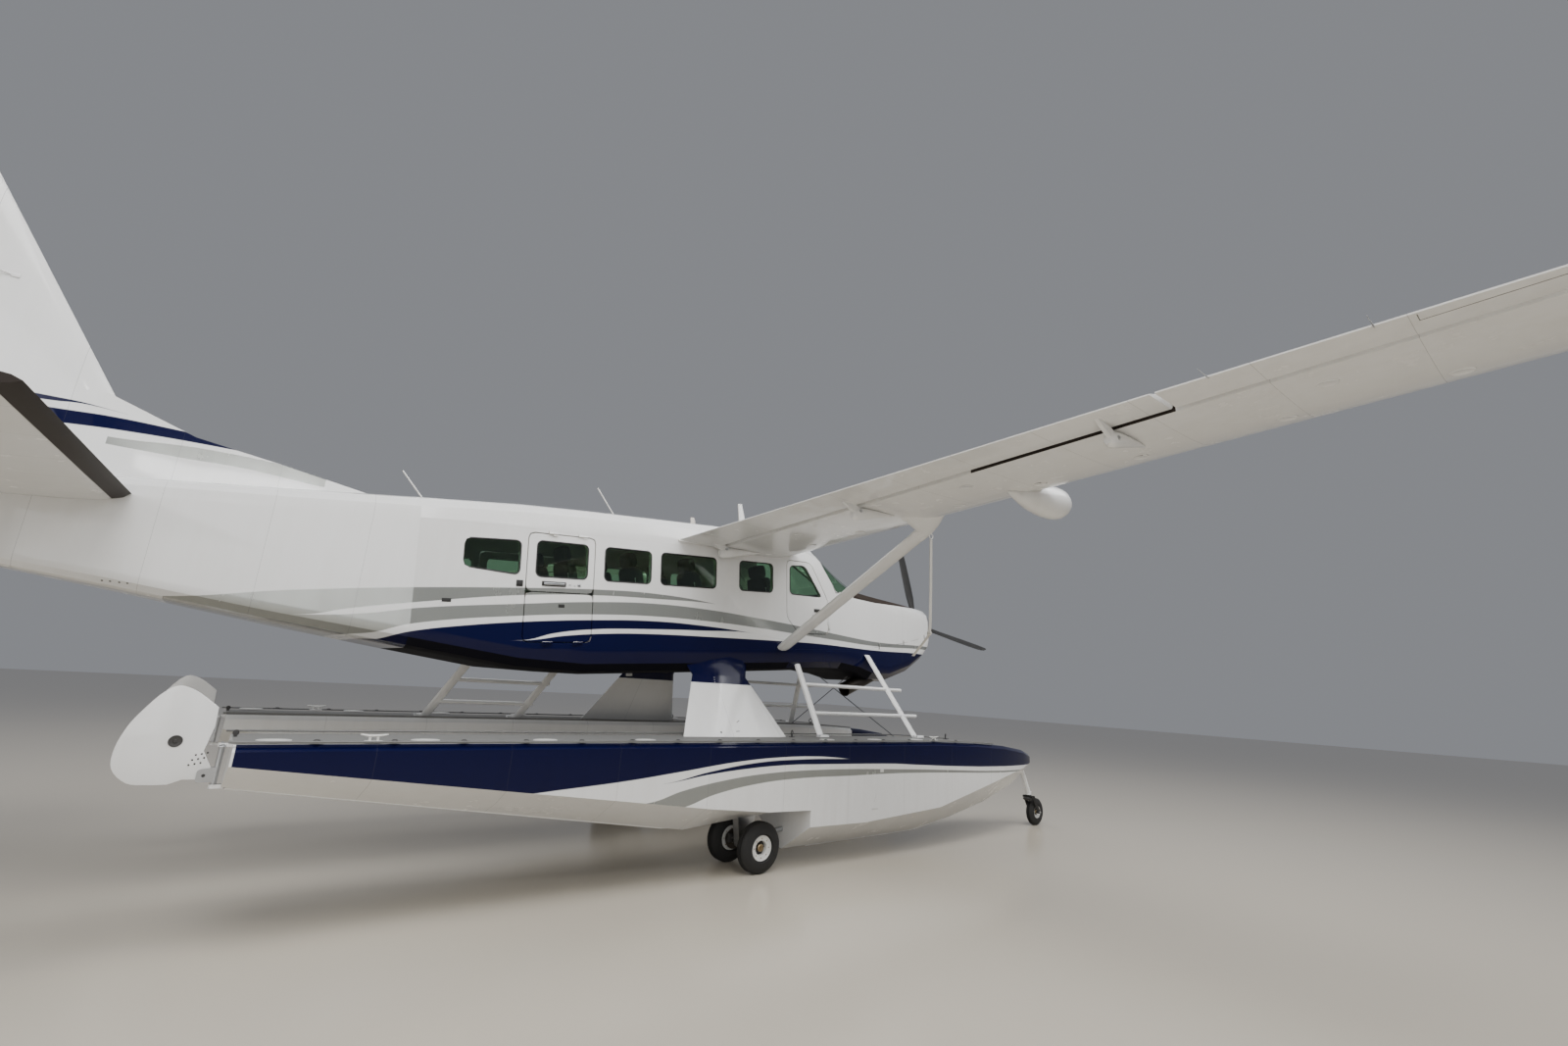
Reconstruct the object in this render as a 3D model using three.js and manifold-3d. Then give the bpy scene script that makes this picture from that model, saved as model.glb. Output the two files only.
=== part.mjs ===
// Amphibious floatplane: a high-wing, single-propeller utility aircraft on two wheeled floats.
// Millimetres. World frame: +X to the nose, +Y to the left, +Z up, the ground at z = 0.
// Airframe frame: u forward along the fuselage, v left, w up, tilted nose-up over the floats.

import * as THREE from 'three';
import { mergeVertices } from 'three/addons/utils/BufferGeometryUtils.js';
import Module from 'manifold-3d';

const wasm = await Module();
wasm.setup();

// Clearances
const TOUCH = 0.3;
const SEAM = 9;
const HINGE_GAP = 0.4;
const RUN_GAP = 7;

// Airframe placement over the floats
const AIRFRAME = { x: 4954.5, z: 2158.7, noseUp: 0.0788 };

// Floats: places of the stern, step and bow, the centre line and the deck
const FLOAT = { centre: 1346, half: 444, stern: -4245, step: 500, bow: 5266, deck: 1223 };

// Wheels: main axle at x = 0, two wheels each side of a float's centre line
const MAIN_WHEEL = { radius: 236, width: 150, offset: 255, bore: 22.6, axle: 22 };
const NOSE_WHEEL = { radius: 187, width: 110, x: 5431, bore: 16.6, axle: 16 };
const NOSE_PIVOT_X = 5280;

// Tail reach, used for the rudder and for the middle of the length box
const RUDDER_TOP = { u: -11840, w: 3960 };

// Fuselage stations: u, half width, bottom, top, lower and upper corner radius
const STATIONS = [
  { u: -740, half: 330, bottom: 430, top: 985, lower: 150, upper: 190 },
  { u: -820, half: 400, bottom: 330, top: 995, lower: 180, upper: 195 },
  { u: -1000, half: 450, bottom: 210, top: 1010, lower: 200, upper: 200 },
  { u: -1400, half: 505, bottom: 30, top: 1060, lower: 220, upper: 200 },
  { u: -1900, half: 560, bottom: -80, top: 1110, lower: 230, upper: 200 },
  { u: -2310, half: 605, bottom: -60, top: 1155, lower: 230, upper: 200 },
  { u: -2600, half: 645, bottom: 30, top: 1195, lower: 220, upper: 220 },
  { u: -3000, half: 700, bottom: 100, top: 1440, lower: 210, upper: 330 },
  { u: -3450, half: 765, bottom: 120, top: 1690, lower: 200, upper: 320 },
  { u: -4000, half: 814, bottom: 120, top: 1800, lower: 200, upper: 240 },
  { u: -4600, half: 816, bottom: 120, top: 1820, lower: 200, upper: 220 },
  { u: -6600, half: 816, bottom: 130, top: 1785, lower: 200, upper: 220 },
  { u: -7250, half: 806, bottom: 195, top: 1765, lower: 200, upper: 220 },
  { u: -8150, half: 715, bottom: 385, top: 1725, lower: 180, upper: 220 },
  { u: -9100, half: 530, bottom: 590, top: 1690, lower: 150, upper: 200 },
  { u: -10050, half: 350, bottom: 815, top: 1655, lower: 120, upper: 160 },
  { u: -11060, half: 150, bottom: 1040, top: 1610, lower: 70, upper: 90 },
];
const FIREWALL = -2310;
const CABIN_END = -8150;
const TAIL_END = -11020;
const WALL = 55;
const FLOOR = 375;
const ROOF_LINE = 1500;
const PANEL_U = -2800;

// Paint and finishes
const PAINT = { color: 0xe9e9e6, roughness: 0.25, metalness: 0.0 };
const NAVY = { color: 0x141d4a, roughness: 0.25, metalness: 0.0 };
const DARK = { color: 0x1b1b1d, roughness: 0.6, metalness: 0.0 };
const GLASS = { color: 0x2f6a4a, roughness: 0.05, metalness: 0.0 };
const METAL = { color: 0xb8babc, roughness: 0.35, metalness: 1.0 };
const CLOTH = { color: 0x8c8578, roughness: 0.9, metalness: 0.0 };
const STRAP_CLOTH = { color: 0xd8d6d0, roughness: 0.9, metalness: 0.0 };

const craft = new THREE.Group();
const airframe = new THREE.Group();
airframe.position.set(AIRFRAME.x, 0, AIRFRAME.z);
airframe.rotation.y = -AIRFRAME.noseUp;
craft.add(airframe);
airframe.updateMatrix();

// The origin is the middle of the length box, on the ground
const cosTilt = Math.cos(AIRFRAME.noseUp);
const sinTilt = Math.sin(AIRFRAME.noseUp);
const tailReach = AIRFRAME.x + RUDDER_TOP.u * cosTilt - RUDDER_TOP.w * sinTilt;
const noseReach = NOSE_WHEEL.x + NOSE_WHEEL.radius;
craft.position.x = -(tailReach + noseReach) / 2;

// Solids and geometry

function manifoldOf(geometry) {
  const bare = geometry.clone();
  bare.deleteAttribute('normal');
  bare.deleteAttribute('uv');
  const merged = mergeVertices(bare, 1e-3);
  const mesh = new wasm.Mesh({
    numProp: 3,
    vertProperties: new Float32Array(merged.attributes.position.array),
    triVerts: new Uint32Array(merged.index.array),
  });
  return new wasm.Manifold(mesh);
}

function geometryOf(solid) {
  const mesh = solid.getMesh();
  const geometry = new THREE.BufferGeometry();
  geometry.setAttribute('position', new THREE.BufferAttribute(new Float32Array(mesh.vertProperties), 3));
  geometry.setIndex(new THREE.BufferAttribute(new Uint32Array(mesh.triVerts), 1));
  const flat = geometry.toNonIndexed();
  flat.computeVertexNormals();
  return flat;
}

function joined(solids) {
  return solids.reduce((sum, solid) => sum.add(solid));
}

function moved(solid, x, y, z) {
  return solid.translate([x, y, z]);
}

function transformed(solid, matrix) {
  return solid.transform(matrix.toArray());
}

// The same piece on the other side of the centre plane
function mirrored(solid) {
  return solid.mirror([0, 1, 0]);
}

function onSide(solid, side) {
  return side === 'left' ? solid : mirrored(solid);
}

function addNode(name, solid, finish, parent = airframe) {
  const mesh = new THREE.Mesh(geometryOf(solid), new THREE.MeshStandardMaterial(finish));
  mesh.name = name;
  parent.add(mesh);
}

function box(x0, x1, y0, y1, z0, z1) {
  const geometry = new THREE.BoxGeometry(x1 - x0, y1 - y0, z1 - z0);
  geometry.translate((x0 + x1) / 2, (y0 + y1) / 2, (z0 + z1) / 2);
  return manifoldOf(geometry);
}

// A bar with a round section between two points
function rod(from, to, radius, sides = 8) {
  const a = new THREE.Vector3(...from);
  const b = new THREE.Vector3(...to);
  const geometry = new THREE.CylinderGeometry(radius, radius, a.distanceTo(b), sides);
  const turn = new THREE.Quaternion();
  turn.setFromUnitVectors(new THREE.Vector3(0, 1, 0), b.clone().sub(a).normalize());
  geometry.applyQuaternion(turn);
  const middle = a.add(b).multiplyScalar(0.5);
  geometry.translate(middle.x, middle.y, middle.z);
  return manifoldOf(geometry);
}

// Triangles that fill a ring, wound the way the ring runs
function capTriangles(ring, [first, second]) {
  const flat = ring.map((p) => new THREE.Vector2(p[first], p[second]));
  const way = Math.sign(THREE.ShapeUtils.area(flat));
  return THREE.ShapeUtils.triangulateShape(flat, []).map(([a, b, c]) => {
    const turn = Math.sign(THREE.ShapeUtils.area([flat[a], flat[b], flat[c]]));
    return turn === way ? [a, b, c] : [a, c, b];
  });
}

// A skin through rings of equal length, with flat ends filled in the two axes of capPlane
function loft(rings, capPlane) {
  const count = rings[0].length;
  const positions = rings.flat().flatMap((p) => [p.x, p.y, p.z]);
  const index = [];
  for (let r = 0; r < rings.length - 1; r += 1) {
    for (let i = 0; i < count; i += 1) {
      const next = (i + 1) % count;
      const a = r * count + i;
      const b = r * count + next;
      index.push(a, b, a + count, b, b + count, a + count);
    }
  }
  const last = (rings.length - 1) * count;
  for (const [a, b, c] of capTriangles(rings[0], capPlane)) {
    index.push(a, c, b);
  }
  for (const [a, b, c] of capTriangles(rings[rings.length - 1], capPlane)) {
    index.push(a + last, b + last, c + last);
  }
  const geometry = new THREE.BufferGeometry();
  geometry.setAttribute('position', new THREE.Float32BufferAttribute(positions, 3));
  geometry.setIndex(index);
  const solid = manifoldOf(geometry);
  return solid.volume() > 0 ? solid : manifoldOf(turnedOut(geometry));
}

function turnedOut(geometry) {
  const index = Array.from(geometry.index.array);
  for (let i = 0; i < index.length; i += 3) {
    [index[i], index[i + 1]] = [index[i + 1], index[i]];
  }
  geometry.setIndex(index);
  return geometry;
}

// Outlines are lists of [across, up] corners, rounded by one radius
function roundedShape(corners, radius) {
  const points = corners.map(([x, y]) => new THREE.Vector2(x, y));
  const shape = new THREE.Shape();
  points.forEach((corner, i) => {
    const before = points[(i + points.length - 1) % points.length];
    const after = points[(i + 1) % points.length];
    const start = corner.clone().add(before.clone().sub(corner).setLength(radius));
    const end = corner.clone().add(after.clone().sub(corner).setLength(radius));
    if (i === 0) {
      shape.moveTo(start.x, start.y);
    } else {
      shape.lineTo(start.x, start.y);
    }
    shape.quadraticCurveTo(corner.x, corner.y, end.x, end.y);
  });
  shape.closePath();
  return shape;
}

// Moves every edge of a convex outline inwards by a distance
function insetCorners(corners, distance) {
  const turn = Math.sign(THREE.ShapeUtils.area(corners.map(([x, y]) => new THREE.Vector2(x, y))));
  const count = corners.length;
  const edges = corners.map(([x, y], i) => {
    const [nx, ny] = corners[(i + 1) % count];
    const length = Math.hypot(nx - x, ny - y);
    const inward = [(-turn * (ny - y)) / length, (turn * (nx - x)) / length];
    return { x: x + inward[0] * distance, y: y + inward[1] * distance, dx: nx - x, dy: ny - y };
  });
  return corners.map((corner, i) => {
    const a = edges[(i + count - 1) % count];
    const b = edges[i];
    const t = ((b.x - a.x) * b.dy - (b.y - a.y) * b.dx) / (a.dx * b.dy - a.dy * b.dx);
    return [a.x + t * a.dx, a.y + t * a.dy];
  });
}

// Shape in (x, z), pushed from y0 to y1
function alongY(shape, y0, y1) {
  const geometry = new THREE.ExtrudeGeometry(shape, { depth: y1 - y0, bevelEnabled: false, curveSegments: 2 });
  geometry.rotateX(Math.PI / 2);
  geometry.translate(0, y1, 0);
  return manifoldOf(geometry);
}

// Shape in (y, z), pushed from x0 to x1
function alongX(shape, x0, x1) {
  const geometry = new THREE.ExtrudeGeometry(shape, { depth: x1 - x0, bevelEnabled: false, curveSegments: 2 });
  const axes = new THREE.Matrix4().makeBasis(
    new THREE.Vector3(0, 1, 0), new THREE.Vector3(0, 0, 1), new THREE.Vector3(1, 0, 0));
  geometry.applyMatrix4(axes);
  geometry.translate(x0, 0, 0);
  return manifoldOf(geometry);
}

// Fuselage skin

const ARC_STEPS = 3;

function bodyOutline(station, inset) {
  const half = station.half - inset;
  const bottom = station.bottom + inset;
  const top = station.top - inset;
  const lower = Math.max(station.lower - inset, 20);
  const upper = Math.max(station.upper - inset, 20);
  const corners = [
    { v: lower - half, w: bottom + lower, r: lower, from: Math.PI },
    { v: half - lower, w: bottom + lower, r: lower, from: Math.PI * 1.5 },
    { v: half - upper, w: top - upper, r: upper, from: 0 },
    { v: upper - half, w: top - upper, r: upper, from: Math.PI * 0.5 },
  ];
  const points = [];
  for (const corner of corners) {
    for (let i = 0; i <= ARC_STEPS; i += 1) {
      const angle = corner.from + (i / ARC_STEPS) * Math.PI * 0.5;
      points.push([corner.v + corner.r * Math.cos(angle), corner.w + corner.r * Math.sin(angle)]);
    }
  }
  return points.map(([v, w]) => new THREE.Vector3(station.u, v, w));
}

function stationAt(u) {
  const i = Math.max(1, STATIONS.findIndex((s) => s.u <= u));
  const a = STATIONS[i - 1];
  const b = STATIONS[i];
  const t = (u - a.u) / (b.u - a.u);
  const mix = (key) => a[key] + (b[key] - a[key]) * t;
  return { u, half: mix('half'), bottom: mix('bottom'), top: mix('top'), lower: mix('lower'), upper: mix('upper') };
}

function fuselageBody(front, rear, inset = 0) {
  const between = STATIONS.filter((s) => s.u < front - 1 && s.u > rear + 1);
  const list = [stationAt(front), ...between, stationAt(rear)];
  return loft(list.map((s) => bodyOutline(s, inset)), ['y', 'z']);
}

// Window and door outlines in (u, w), seen from the left side; both sides are alike
const WINDOW_RADIUS = 60;
const FIXED_WINDOWS = [
  [[-7785, 1100], [-7298, 1052], [-7298, 1378], [-7785, 1366]],
  [[-5817, 1046], [-5107, 1046], [-5107, 1398], [-5817, 1398]],
  [[-4779, 1046], [-4279, 1046], [-4279, 1398], [-4779, 1398]],
];
const DOOR_WINDOW_AFT = [[-7150, 1046], [-6640, 1046], [-6640, 1395], [-7150, 1395]];
const DOOR_WINDOW_FORE = [[-6462, 1046], [-5934, 1046], [-5934, 1395], [-6462, 1395]];
const GLASS_LOW = 1046;
const GLASS_HIGH = 1396;
const GLASS_SPANS = { fixedLeft: [-5817, -4279], fixedRight: [-6462, -4279], cargo: [-7150, -5934] };
const CREW_WINDOW = [[-4008, 1046], [-3412, 1030], [-3738, 1415], [-4008, 1400]];
const CREW_DOOR = [[-4062, 760], [-3862, 560], [-3290, 560], [-3290, 990], [-3630, 1470], [-4062, 1470]];
const SPLIT = 905;
const PASSENGER_DOOR = { aft: -7240, fore: -6566, bottom: 432, top: 1470 };
const CARGO_DOOR = { aft: -7240, fore: -5880, bottom: 432, top: 1470 };
const WINDSHIELD = [[-3120, 1120], [-2380, 1190], [-2380, 1800], [-3470, 1760], [-3470, 1600]];
const CENTRE_POST = 28;

function doorCorners(door, low, high) {
  return [[door.aft, low], [door.fore, low], [door.fore, high], [door.aft, high]];
}

const LEFT_REACH = [150, 1200];

function spanCorners([aft, fore]) {
  return [[aft, GLASS_LOW], [fore, GLASS_LOW], [fore, GLASS_HIGH], [aft, GLASS_HIGH]];
}

// One pane serves the windows between two doors, and one the windows of the big door
function fixedGlass(side) {
  return spanCorners(side === 'left' ? GLASS_SPANS.fixedLeft : GLASS_SPANS.fixedRight);
}

function doorGlass(side) {
  return side === 'left' ? spanCorners(GLASS_SPANS.cargo) : DOOR_WINDOW_AFT;
}

// Cuts through the left or the right wall only
function wallCut(corners, radius, side) {
  return onSide(alongY(roundedShape(corners, radius), ...LEFT_REACH), side);
}

const outerSkin = fuselageBody(FIREWALL, CABIN_END);
const cavityBody = fuselageBody(-2420, CABIN_END + 60, WALL);
const cavity = cavityBody.intersect(joined([
  box(CABIN_END, PANEL_U, -1000, 1000, FLOOR, 2000),
  box(PANEL_U - 1, 0, -1000, 1000, 1120, 2000),
]));
const shell = outerSkin.subtract(cavity);

// Side glass sits in a groove of its wall, a little larger than its windows
const GLASS_LAP = 20;
const SIDE_PANE = { outer: 10, inner: 16 };

// A skin of the fuselage between two depths below its surface
function skinBetween(outer, inner) {
  return fuselageBody(FIREWALL, CABIN_END, outer).subtract(fuselageBody(FIREWALL + 1, CABIN_END - 1, inner));
}

const sideSkin = skinBetween(SIDE_PANE.outer, SIDE_PANE.inner);
const grooveSkin = skinBetween(SIDE_PANE.outer - TOUCH, SIDE_PANE.inner + TOUCH);

function sideGlass(corners, side) {
  return sideSkin.intersect(wallCut(insetCorners(corners, -GLASS_LAP), WINDOW_RADIUS, side));
}

function glassGroove(corners, side) {
  return grooveSkin.intersect(wallCut(insetCorners(corners, -GLASS_LAP - TOUCH), WINDOW_RADIUS, side));
}

// The windshield is one pane, and a centre post stands behind it
const PANE = { outer: 10, inner: 22 };

function windshieldPrism(grow) {
  return alongY(roundedShape(insetCorners(WINDSHIELD, -grow), 40), -1200, 1200);
}

function windshieldHole() {
  const prism = windshieldPrism(0);
  const beside = prism.subtract(box(-4000, 0, -CENTRE_POST, CENTRE_POST, 0, 2500));
  const behindPane = fuselageBody(FIREWALL + 1, CABIN_END - 1, PANE.inner + TOUCH);
  return beside.add(prism.subtract(behindPane));
}

// Hinge knuckles: a short pin on the axis that belongs to one side, beside one that belongs to the other
function knuckle(point, axis, from, to, radius) {
  const dir = new THREE.Vector3(...axis).normalize();
  const a = new THREE.Vector3(...point).addScaledVector(dir, from);
  const b = new THREE.Vector3(...point).addScaledVector(dir, to);
  return rod([a.x, a.y, a.z], [b.x, b.y, b.z], radius);
}

function buildCabin() {
  const hole = windshieldHole();
  const openSkin = shell.subtract(hole);
  const belly = openSkin.intersect(box(CABIN_END - 10, FIREWALL + 10, -1000, 1000, -300, FLOOR - TOUCH));
  addNode('cabin_belly', belly, NAVY);

  const roofPart = openSkin.intersect(box(CABIN_END - 10, FIREWALL + 10, -1000, 1000, ROOF_LINE, 2200));
  const roof = roofPart.add(wingCentre()).add(antennas()).subtract(cavity).subtract(hole);
  addNode('cabin_roof', roof, PAINT);

  const wallBand = openSkin.intersect(box(CABIN_END - 10, FIREWALL + 10, -1000, 1000, FLOOR, ROOF_LINE - TOUCH));
  const doors = {};
  for (const side of ['left', 'right']) {
    const half = onSide(box(CABIN_END - 10, FIREWALL + 10, TOUCH / 2, 1000, FLOOR - 10, 2200), side);
    const whole = wallBand.intersect(half);
    const openings = [wallCut(CREW_DOOR, 60, side)];
    const big = side === 'left' ? CARGO_DOOR : PASSENGER_DOOR;
    openings.push(wallCut(doorCorners(big, big.bottom, big.top), 60, side));
    let wall = whole.subtract(joined(openings));
    for (const corners of FIXED_WINDOWS) {
      wall = wall.subtract(wallCut(corners, WINDOW_RADIUS, side));
    }
    if (side === 'right') {
      wall = wall.subtract(wallCut(DOOR_WINDOW_FORE, WINDOW_RADIUS, side));
    }
    for (const corners of [FIXED_WINDOWS[0], fixedGlass(side)]) {
      wall = wall.subtract(glassGroove(corners, side));
    }
    doors[side] = whole;
    wall = wall.subtract(wallHingeRoom(side)).add(doorKnuckles(side, 'fixed'));
    addNode(`cabin_wall_${side}`, wall, PAINT);
  }
  return doors;
}

// Door hinges: point on the axis, axis, places of the knuckles along the axis, and the door's name
const CREW_HINGE_V = stationAt(-3290).half + 8;
const SIDE_HINGE_V = stationAt(-6600).half + 8;
const HINGE_PIN = 11;
const HINGES = {
  crew: { point: [-3290, CREW_HINGE_V, 0], axis: [0, 0, 1], at: [640, 810] },
  upper: { point: [0, SIDE_HINGE_V - 6, 1470], axis: [1, 0, 0], at: [-7050, -6750] },
  lowerRight: { point: [0, SIDE_HINGE_V, 432], axis: [1, 0, 0], at: [-7050, -6750] },
  cargoUpper: { point: [0, SIDE_HINGE_V - 6, 1470], axis: [1, 0, 0], at: [-7000, -6100] },
  cargoLower: { point: [-5880, SIDE_HINGE_V, 0], axis: [0, 0, 1], at: [520, 800] },
};
const KNUCKLE = 45;

function doorHinges(side) {
  return side === 'left'
    ? { crew: HINGES.crew, upper: HINGES.cargoUpper, lower: HINGES.cargoLower }
    : { crew: HINGES.crew, upper: HINGES.upper, lower: HINGES.lowerRight };
}

// A leaf that ties a knuckle into its wall or door
function hingeLeaf(hinge, start, end, reach) {
  const along = hinge.axis[2] === 1;
  const [pu, pv, pw] = hinge.point;
  const inner = pv - WALL;
  const away = Math.sign(reach);
  if (along) {
    const ends = [pu + away, pu + reach].sort((a, b) => a - b);
    return box(...ends, inner, pv + 3, start, end);
  }
  const ends = [pw + away, pw + reach].sort((a, b) => a - b);
  return box(start, end, inner, pv + 3, ...ends);
}

function hingeSet(hinge, part, reach) {
  return joined(hinge.at.flatMap((place) => {
    const [start, end] = part === 'fixed' ? [place, place + KNUCKLE] : [place + KNUCKLE + HINGE_GAP, place + 2 * KNUCKLE];
    return [knuckle(hinge.point, hinge.axis, start, end, HINGE_PIN), hingeLeaf(hinge, start, end, reach)];
  }));
}

// Room for the knuckles in the wall and in the doors
function hingeRoom(hinge) {
  return joined(hinge.at.map((place) => knuckle(hinge.point, hinge.axis, place - 1, place + 2 * KNUCKLE + 1, HINGE_PIN + 1)));
}

const LEAF = 24;

function wallHingeRoom(side) {
  return onSide(joined(Object.values(doorHinges(side)).map(hingeRoom)), side);
}

function doorKnuckles(side, part) {
  const set = doorHinges(side);
  const solids = [
    hingeSet(set.crew, part, LEAF),
    hingeSet(set.upper, part, LEAF),
    hingeSet(set.lower, part, side === 'left' ? LEAF : -LEAF),
  ];
  return onSide(joined(solids), side);
}

function doorPanel(whole, corners, windows, glass, hinge, side, reach) {
  let panel = whole.intersect(wallCut(insetCorners(corners, SEAM), 55, side));
  for (const window of windows) {
    panel = panel.subtract(wallCut(window, WINDOW_RADIUS, side));
  }
  for (const pane of glass) {
    panel = panel.subtract(glassGroove(pane, side));
  }
  return panel.subtract(onSide(hingeRoom(hinge), side)).add(onSide(hingeSet(hinge, 'moving', reach), side));
}

function buildDoors(doors) {
  for (const side of ['left', 'right']) {
    const whole = doors[side];
    const set = doorHinges(side);
    const big = side === 'left' ? CARGO_DOOR : PASSENGER_DOOR;
    const name = side === 'left' ? 'cargo_door' : 'passenger_door';
    const windows = side === 'left' ? [DOOR_WINDOW_AFT, DOOR_WINDOW_FORE] : [DOOR_WINDOW_AFT];
    const upper = doorCorners(big, SPLIT - SEAM / 2, big.top);
    const lower = doorCorners(big, big.bottom, SPLIT + SEAM / 2);
    const crewDoor = doorPanel(whole, CREW_DOOR, [CREW_WINDOW], [CREW_WINDOW], set.crew, side, -LEAF);
    addNode(`crew_door_${side}`, crewDoor, PAINT);
    addNode(`${name}_upper`, doorPanel(whole, upper, windows, [doorGlass(side)], set.upper, side, -LEAF), PAINT);
    addNode(`${name}_lower`, doorPanel(whole, lower, [], [], set.lower, side, side === 'left' ? -LEAF : LEAF), NAVY);
    addNode(`${name}_glass`, sideGlass(doorGlass(side), side), GLASS);
    addNode(`crew_door_glass_${side}`, sideGlass(CREW_WINDOW, side), GLASS);
    addNode(`window_glass_${side}`, sideGlass(fixedGlass(side), side), GLASS);
    addNode(`aft_window_glass_${side}`, sideGlass(FIXED_WINDOWS[0], side), GLASS);
  }
}

function buildWindshield() {
  addNode('windshield', skinBetween(PANE.outer, PANE.inner).intersect(windshieldPrism(-TOUCH)), GLASS);
}

// Nose: cowl, engine, exhaust, propeller

const PROP = { u: -633, w: 774, radius: 1345, angle: -0.309, blades: 3 };
const SPINNER = { back: -722, tip: -275, radius: 200 };
const SHAFT_RADIUS = 60;
const EXHAUST_RADIUS = 92;

// From inside the cowl to its mouth, with a little more length at the mouth for its bore
function exhaustPath(more) {
  return new THREE.LineCurve3(new THREE.Vector3(-1960, -335, 55), new THREE.Vector3(-2650 - more, -372, -160 - more * 0.31));
}

function pipe(curve, radius, steps, sides = 12) {
  const shape = new THREE.Shape();
  shape.absarc(0, 0, radius, 0, Math.PI * 2);
  const geometry = new THREE.ExtrudeGeometry(shape, { steps, extrudePath: curve, curveSegments: sides / 2 });
  return manifoldOf(geometry);
}

function lathed(profile, segments) {
  return manifoldOf(new THREE.LatheGeometry(profile.map(([x, y]) => new THREE.Vector2(x, y)), segments));
}

// Turns a body of revolution about +Y into one about +X
function axisToX(solid) {
  return solid.rotate([0, 0, -90]);
}

function engineBlock() {
  const rear = FIREWALL + TOUCH;
  const front = SPINNER.back - HINGE_GAP;
  const profile = [[0, rear], [250, rear], [250, -1350], [190, -1150], [190, -950], [90, -860], [SHAFT_RADIUS, -850],
    [SHAFT_RADIUS, front], [0, front]];
  return moved(axisToX(lathed(profile, 12)), 0, 0, PROP.w);
}

function buildNose() {
  const rear = FIREWALL + TOUCH;
  const skin = fuselageBody(-740, rear);
  const hollow = fuselageBody(-765, rear, 28).add(
    fuselageBody(-2200, rear, 28).intersect(box(rear - 5, -2200, -900, 900, -200, 1300)));
  const openRear = moved(fuselageBody(-2250, rear, 28), -10, 0, 0);
  const hubHole = rod([-900, 0, PROP.w], [-600, 0, PROP.w], SHAFT_RADIUS + 60, 20);
  const chinHole = alongX(roundedShape([[-210, 470], [210, 470], [210, 600], [-210, 600]], 60), -900, -600);
  const exhaustHole = pipe(exhaustPath(0), EXHAUST_RADIUS + TOUCH * 2, 2);
  const cowl = skin.subtract(joined([hollow, openRear, hubHole, chinHole, exhaustHole]));
  addNode('cowl', cowl, PAINT);
  const bore = pipe(exhaustPath(30), EXHAUST_RADIUS - 8, 2).intersect(box(-3000, -2330, -700, 0, -600, 300));
  const nosePart = fuselageBody(FIREWALL + 5, -2800, -TOUCH);
  const stack = pipe(exhaustPath(0), EXHAUST_RADIUS, 2).subtract(bore).subtract(nosePart);
  const manifold = rod([-1960, -335, 60], [-1960, 0, PROP.w], 90, 10);
  addNode('engine_block', joined([engineBlock(), manifold, stack]), METAL);
}

// Blade sections: radius from the hub, chord, thickness and turn from the feathered pitch
const BLADE = [
  { r: 110, chord: 84, thick: 84, turn: 0.1 },
  { r: 260, chord: 92, thick: 70, turn: 0.1 },
  { r: 450, chord: 175, thick: 42, turn: 0.12 },
  { r: 800, chord: 205, thick: 26, turn: 0.22 },
  { r: 1150, chord: 195, thick: 17, turn: 0.3 },
  { r: 1320, chord: 150, thick: 12, turn: 0.34 },
  { r: 1345, chord: 70, thick: 9, turn: 0.34 },
];

function bladeSolid(grow) {
  const rings = BLADE.map((s) => {
    const points = [];
    for (let i = 0; i < 10; i += 1) {
      const angle = (i / 10) * Math.PI * 2;
      const along = (s.chord / 2 + grow) * Math.cos(angle);
      const across = (s.thick / 2 + grow) * Math.sin(angle);
      const u = along * Math.cos(s.turn) - across * Math.sin(s.turn);
      const t = along * Math.sin(s.turn) + across * Math.cos(s.turn);
      points.push(new THREE.Vector3(u, t, s.r));
    }
    return points;
  });
  return loft(rings, ['x', 'y']);
}

function bladeSet(grow) {
  const blades = [];
  for (let i = 0; i < PROP.blades; i += 1) {
    const turn = (Math.PI / 2 - PROP.angle + (i * 2 * Math.PI) / PROP.blades) * (180 / Math.PI);
    blades.push(bladeSolid(grow).rotate([turn, 0, 0]));
  }
  return moved(joined(blades), PROP.u, 0, PROP.w);
}

function buildPropeller() {
  const hub = rod([SPINNER.back + 20, 0, PROP.w], [-560, 0, PROP.w], 130, 20);
  addNode('propeller', bladeSet(0).add(hub), DARK);
  const profile = [[0, SPINNER.back], [SPINNER.radius, SPINNER.back], [SPINNER.radius, -640], [185, -540],
    [145, -430], [75, -325], [0, SPINNER.tip]];
  const dome = moved(axisToX(lathed(profile, 20)), 0, 0, PROP.w);
  const hubRoom = rod([SPINNER.back + 20 - TOUCH, 0, PROP.w], [-560 + TOUCH, 0, PROP.w], 130 + 1, 20);
  addNode('spinner', dome.subtract(bladeSet(1)).subtract(hubRoom), METAL);
}

// Wing: v, leading and trailing edge u and w on the chord line, thickness ratio
const WING = [
  { v: 830, le: -3905, te: -5614, leW: 1602, teW: 1553, thick: 0.165 },
  { v: 4300, le: -3990, te: -5474, leW: 1778, teW: 1730, thick: 0.145 },
  { v: 7700, le: -4073, te: -5330, leW: 1948, teW: 1903, thick: 0.12 },
  { v: 7880, le: -4200, te: -5300, leW: 1962, teW: 1915, thick: 0.09 },
  { v: 7940, le: -4420, te: -5230, leW: 1958, teW: 1920, thick: 0.045 },
];
const FLAP_SPAN = [850, 5700];
const AILERON_SPAN = [5730, 7560];
const CONTROL_U = -5070;
const CHORD_STEPS = [0, 0.02, 0.07, 0.16, 0.3, 0.5, 0.75, 1];

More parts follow.
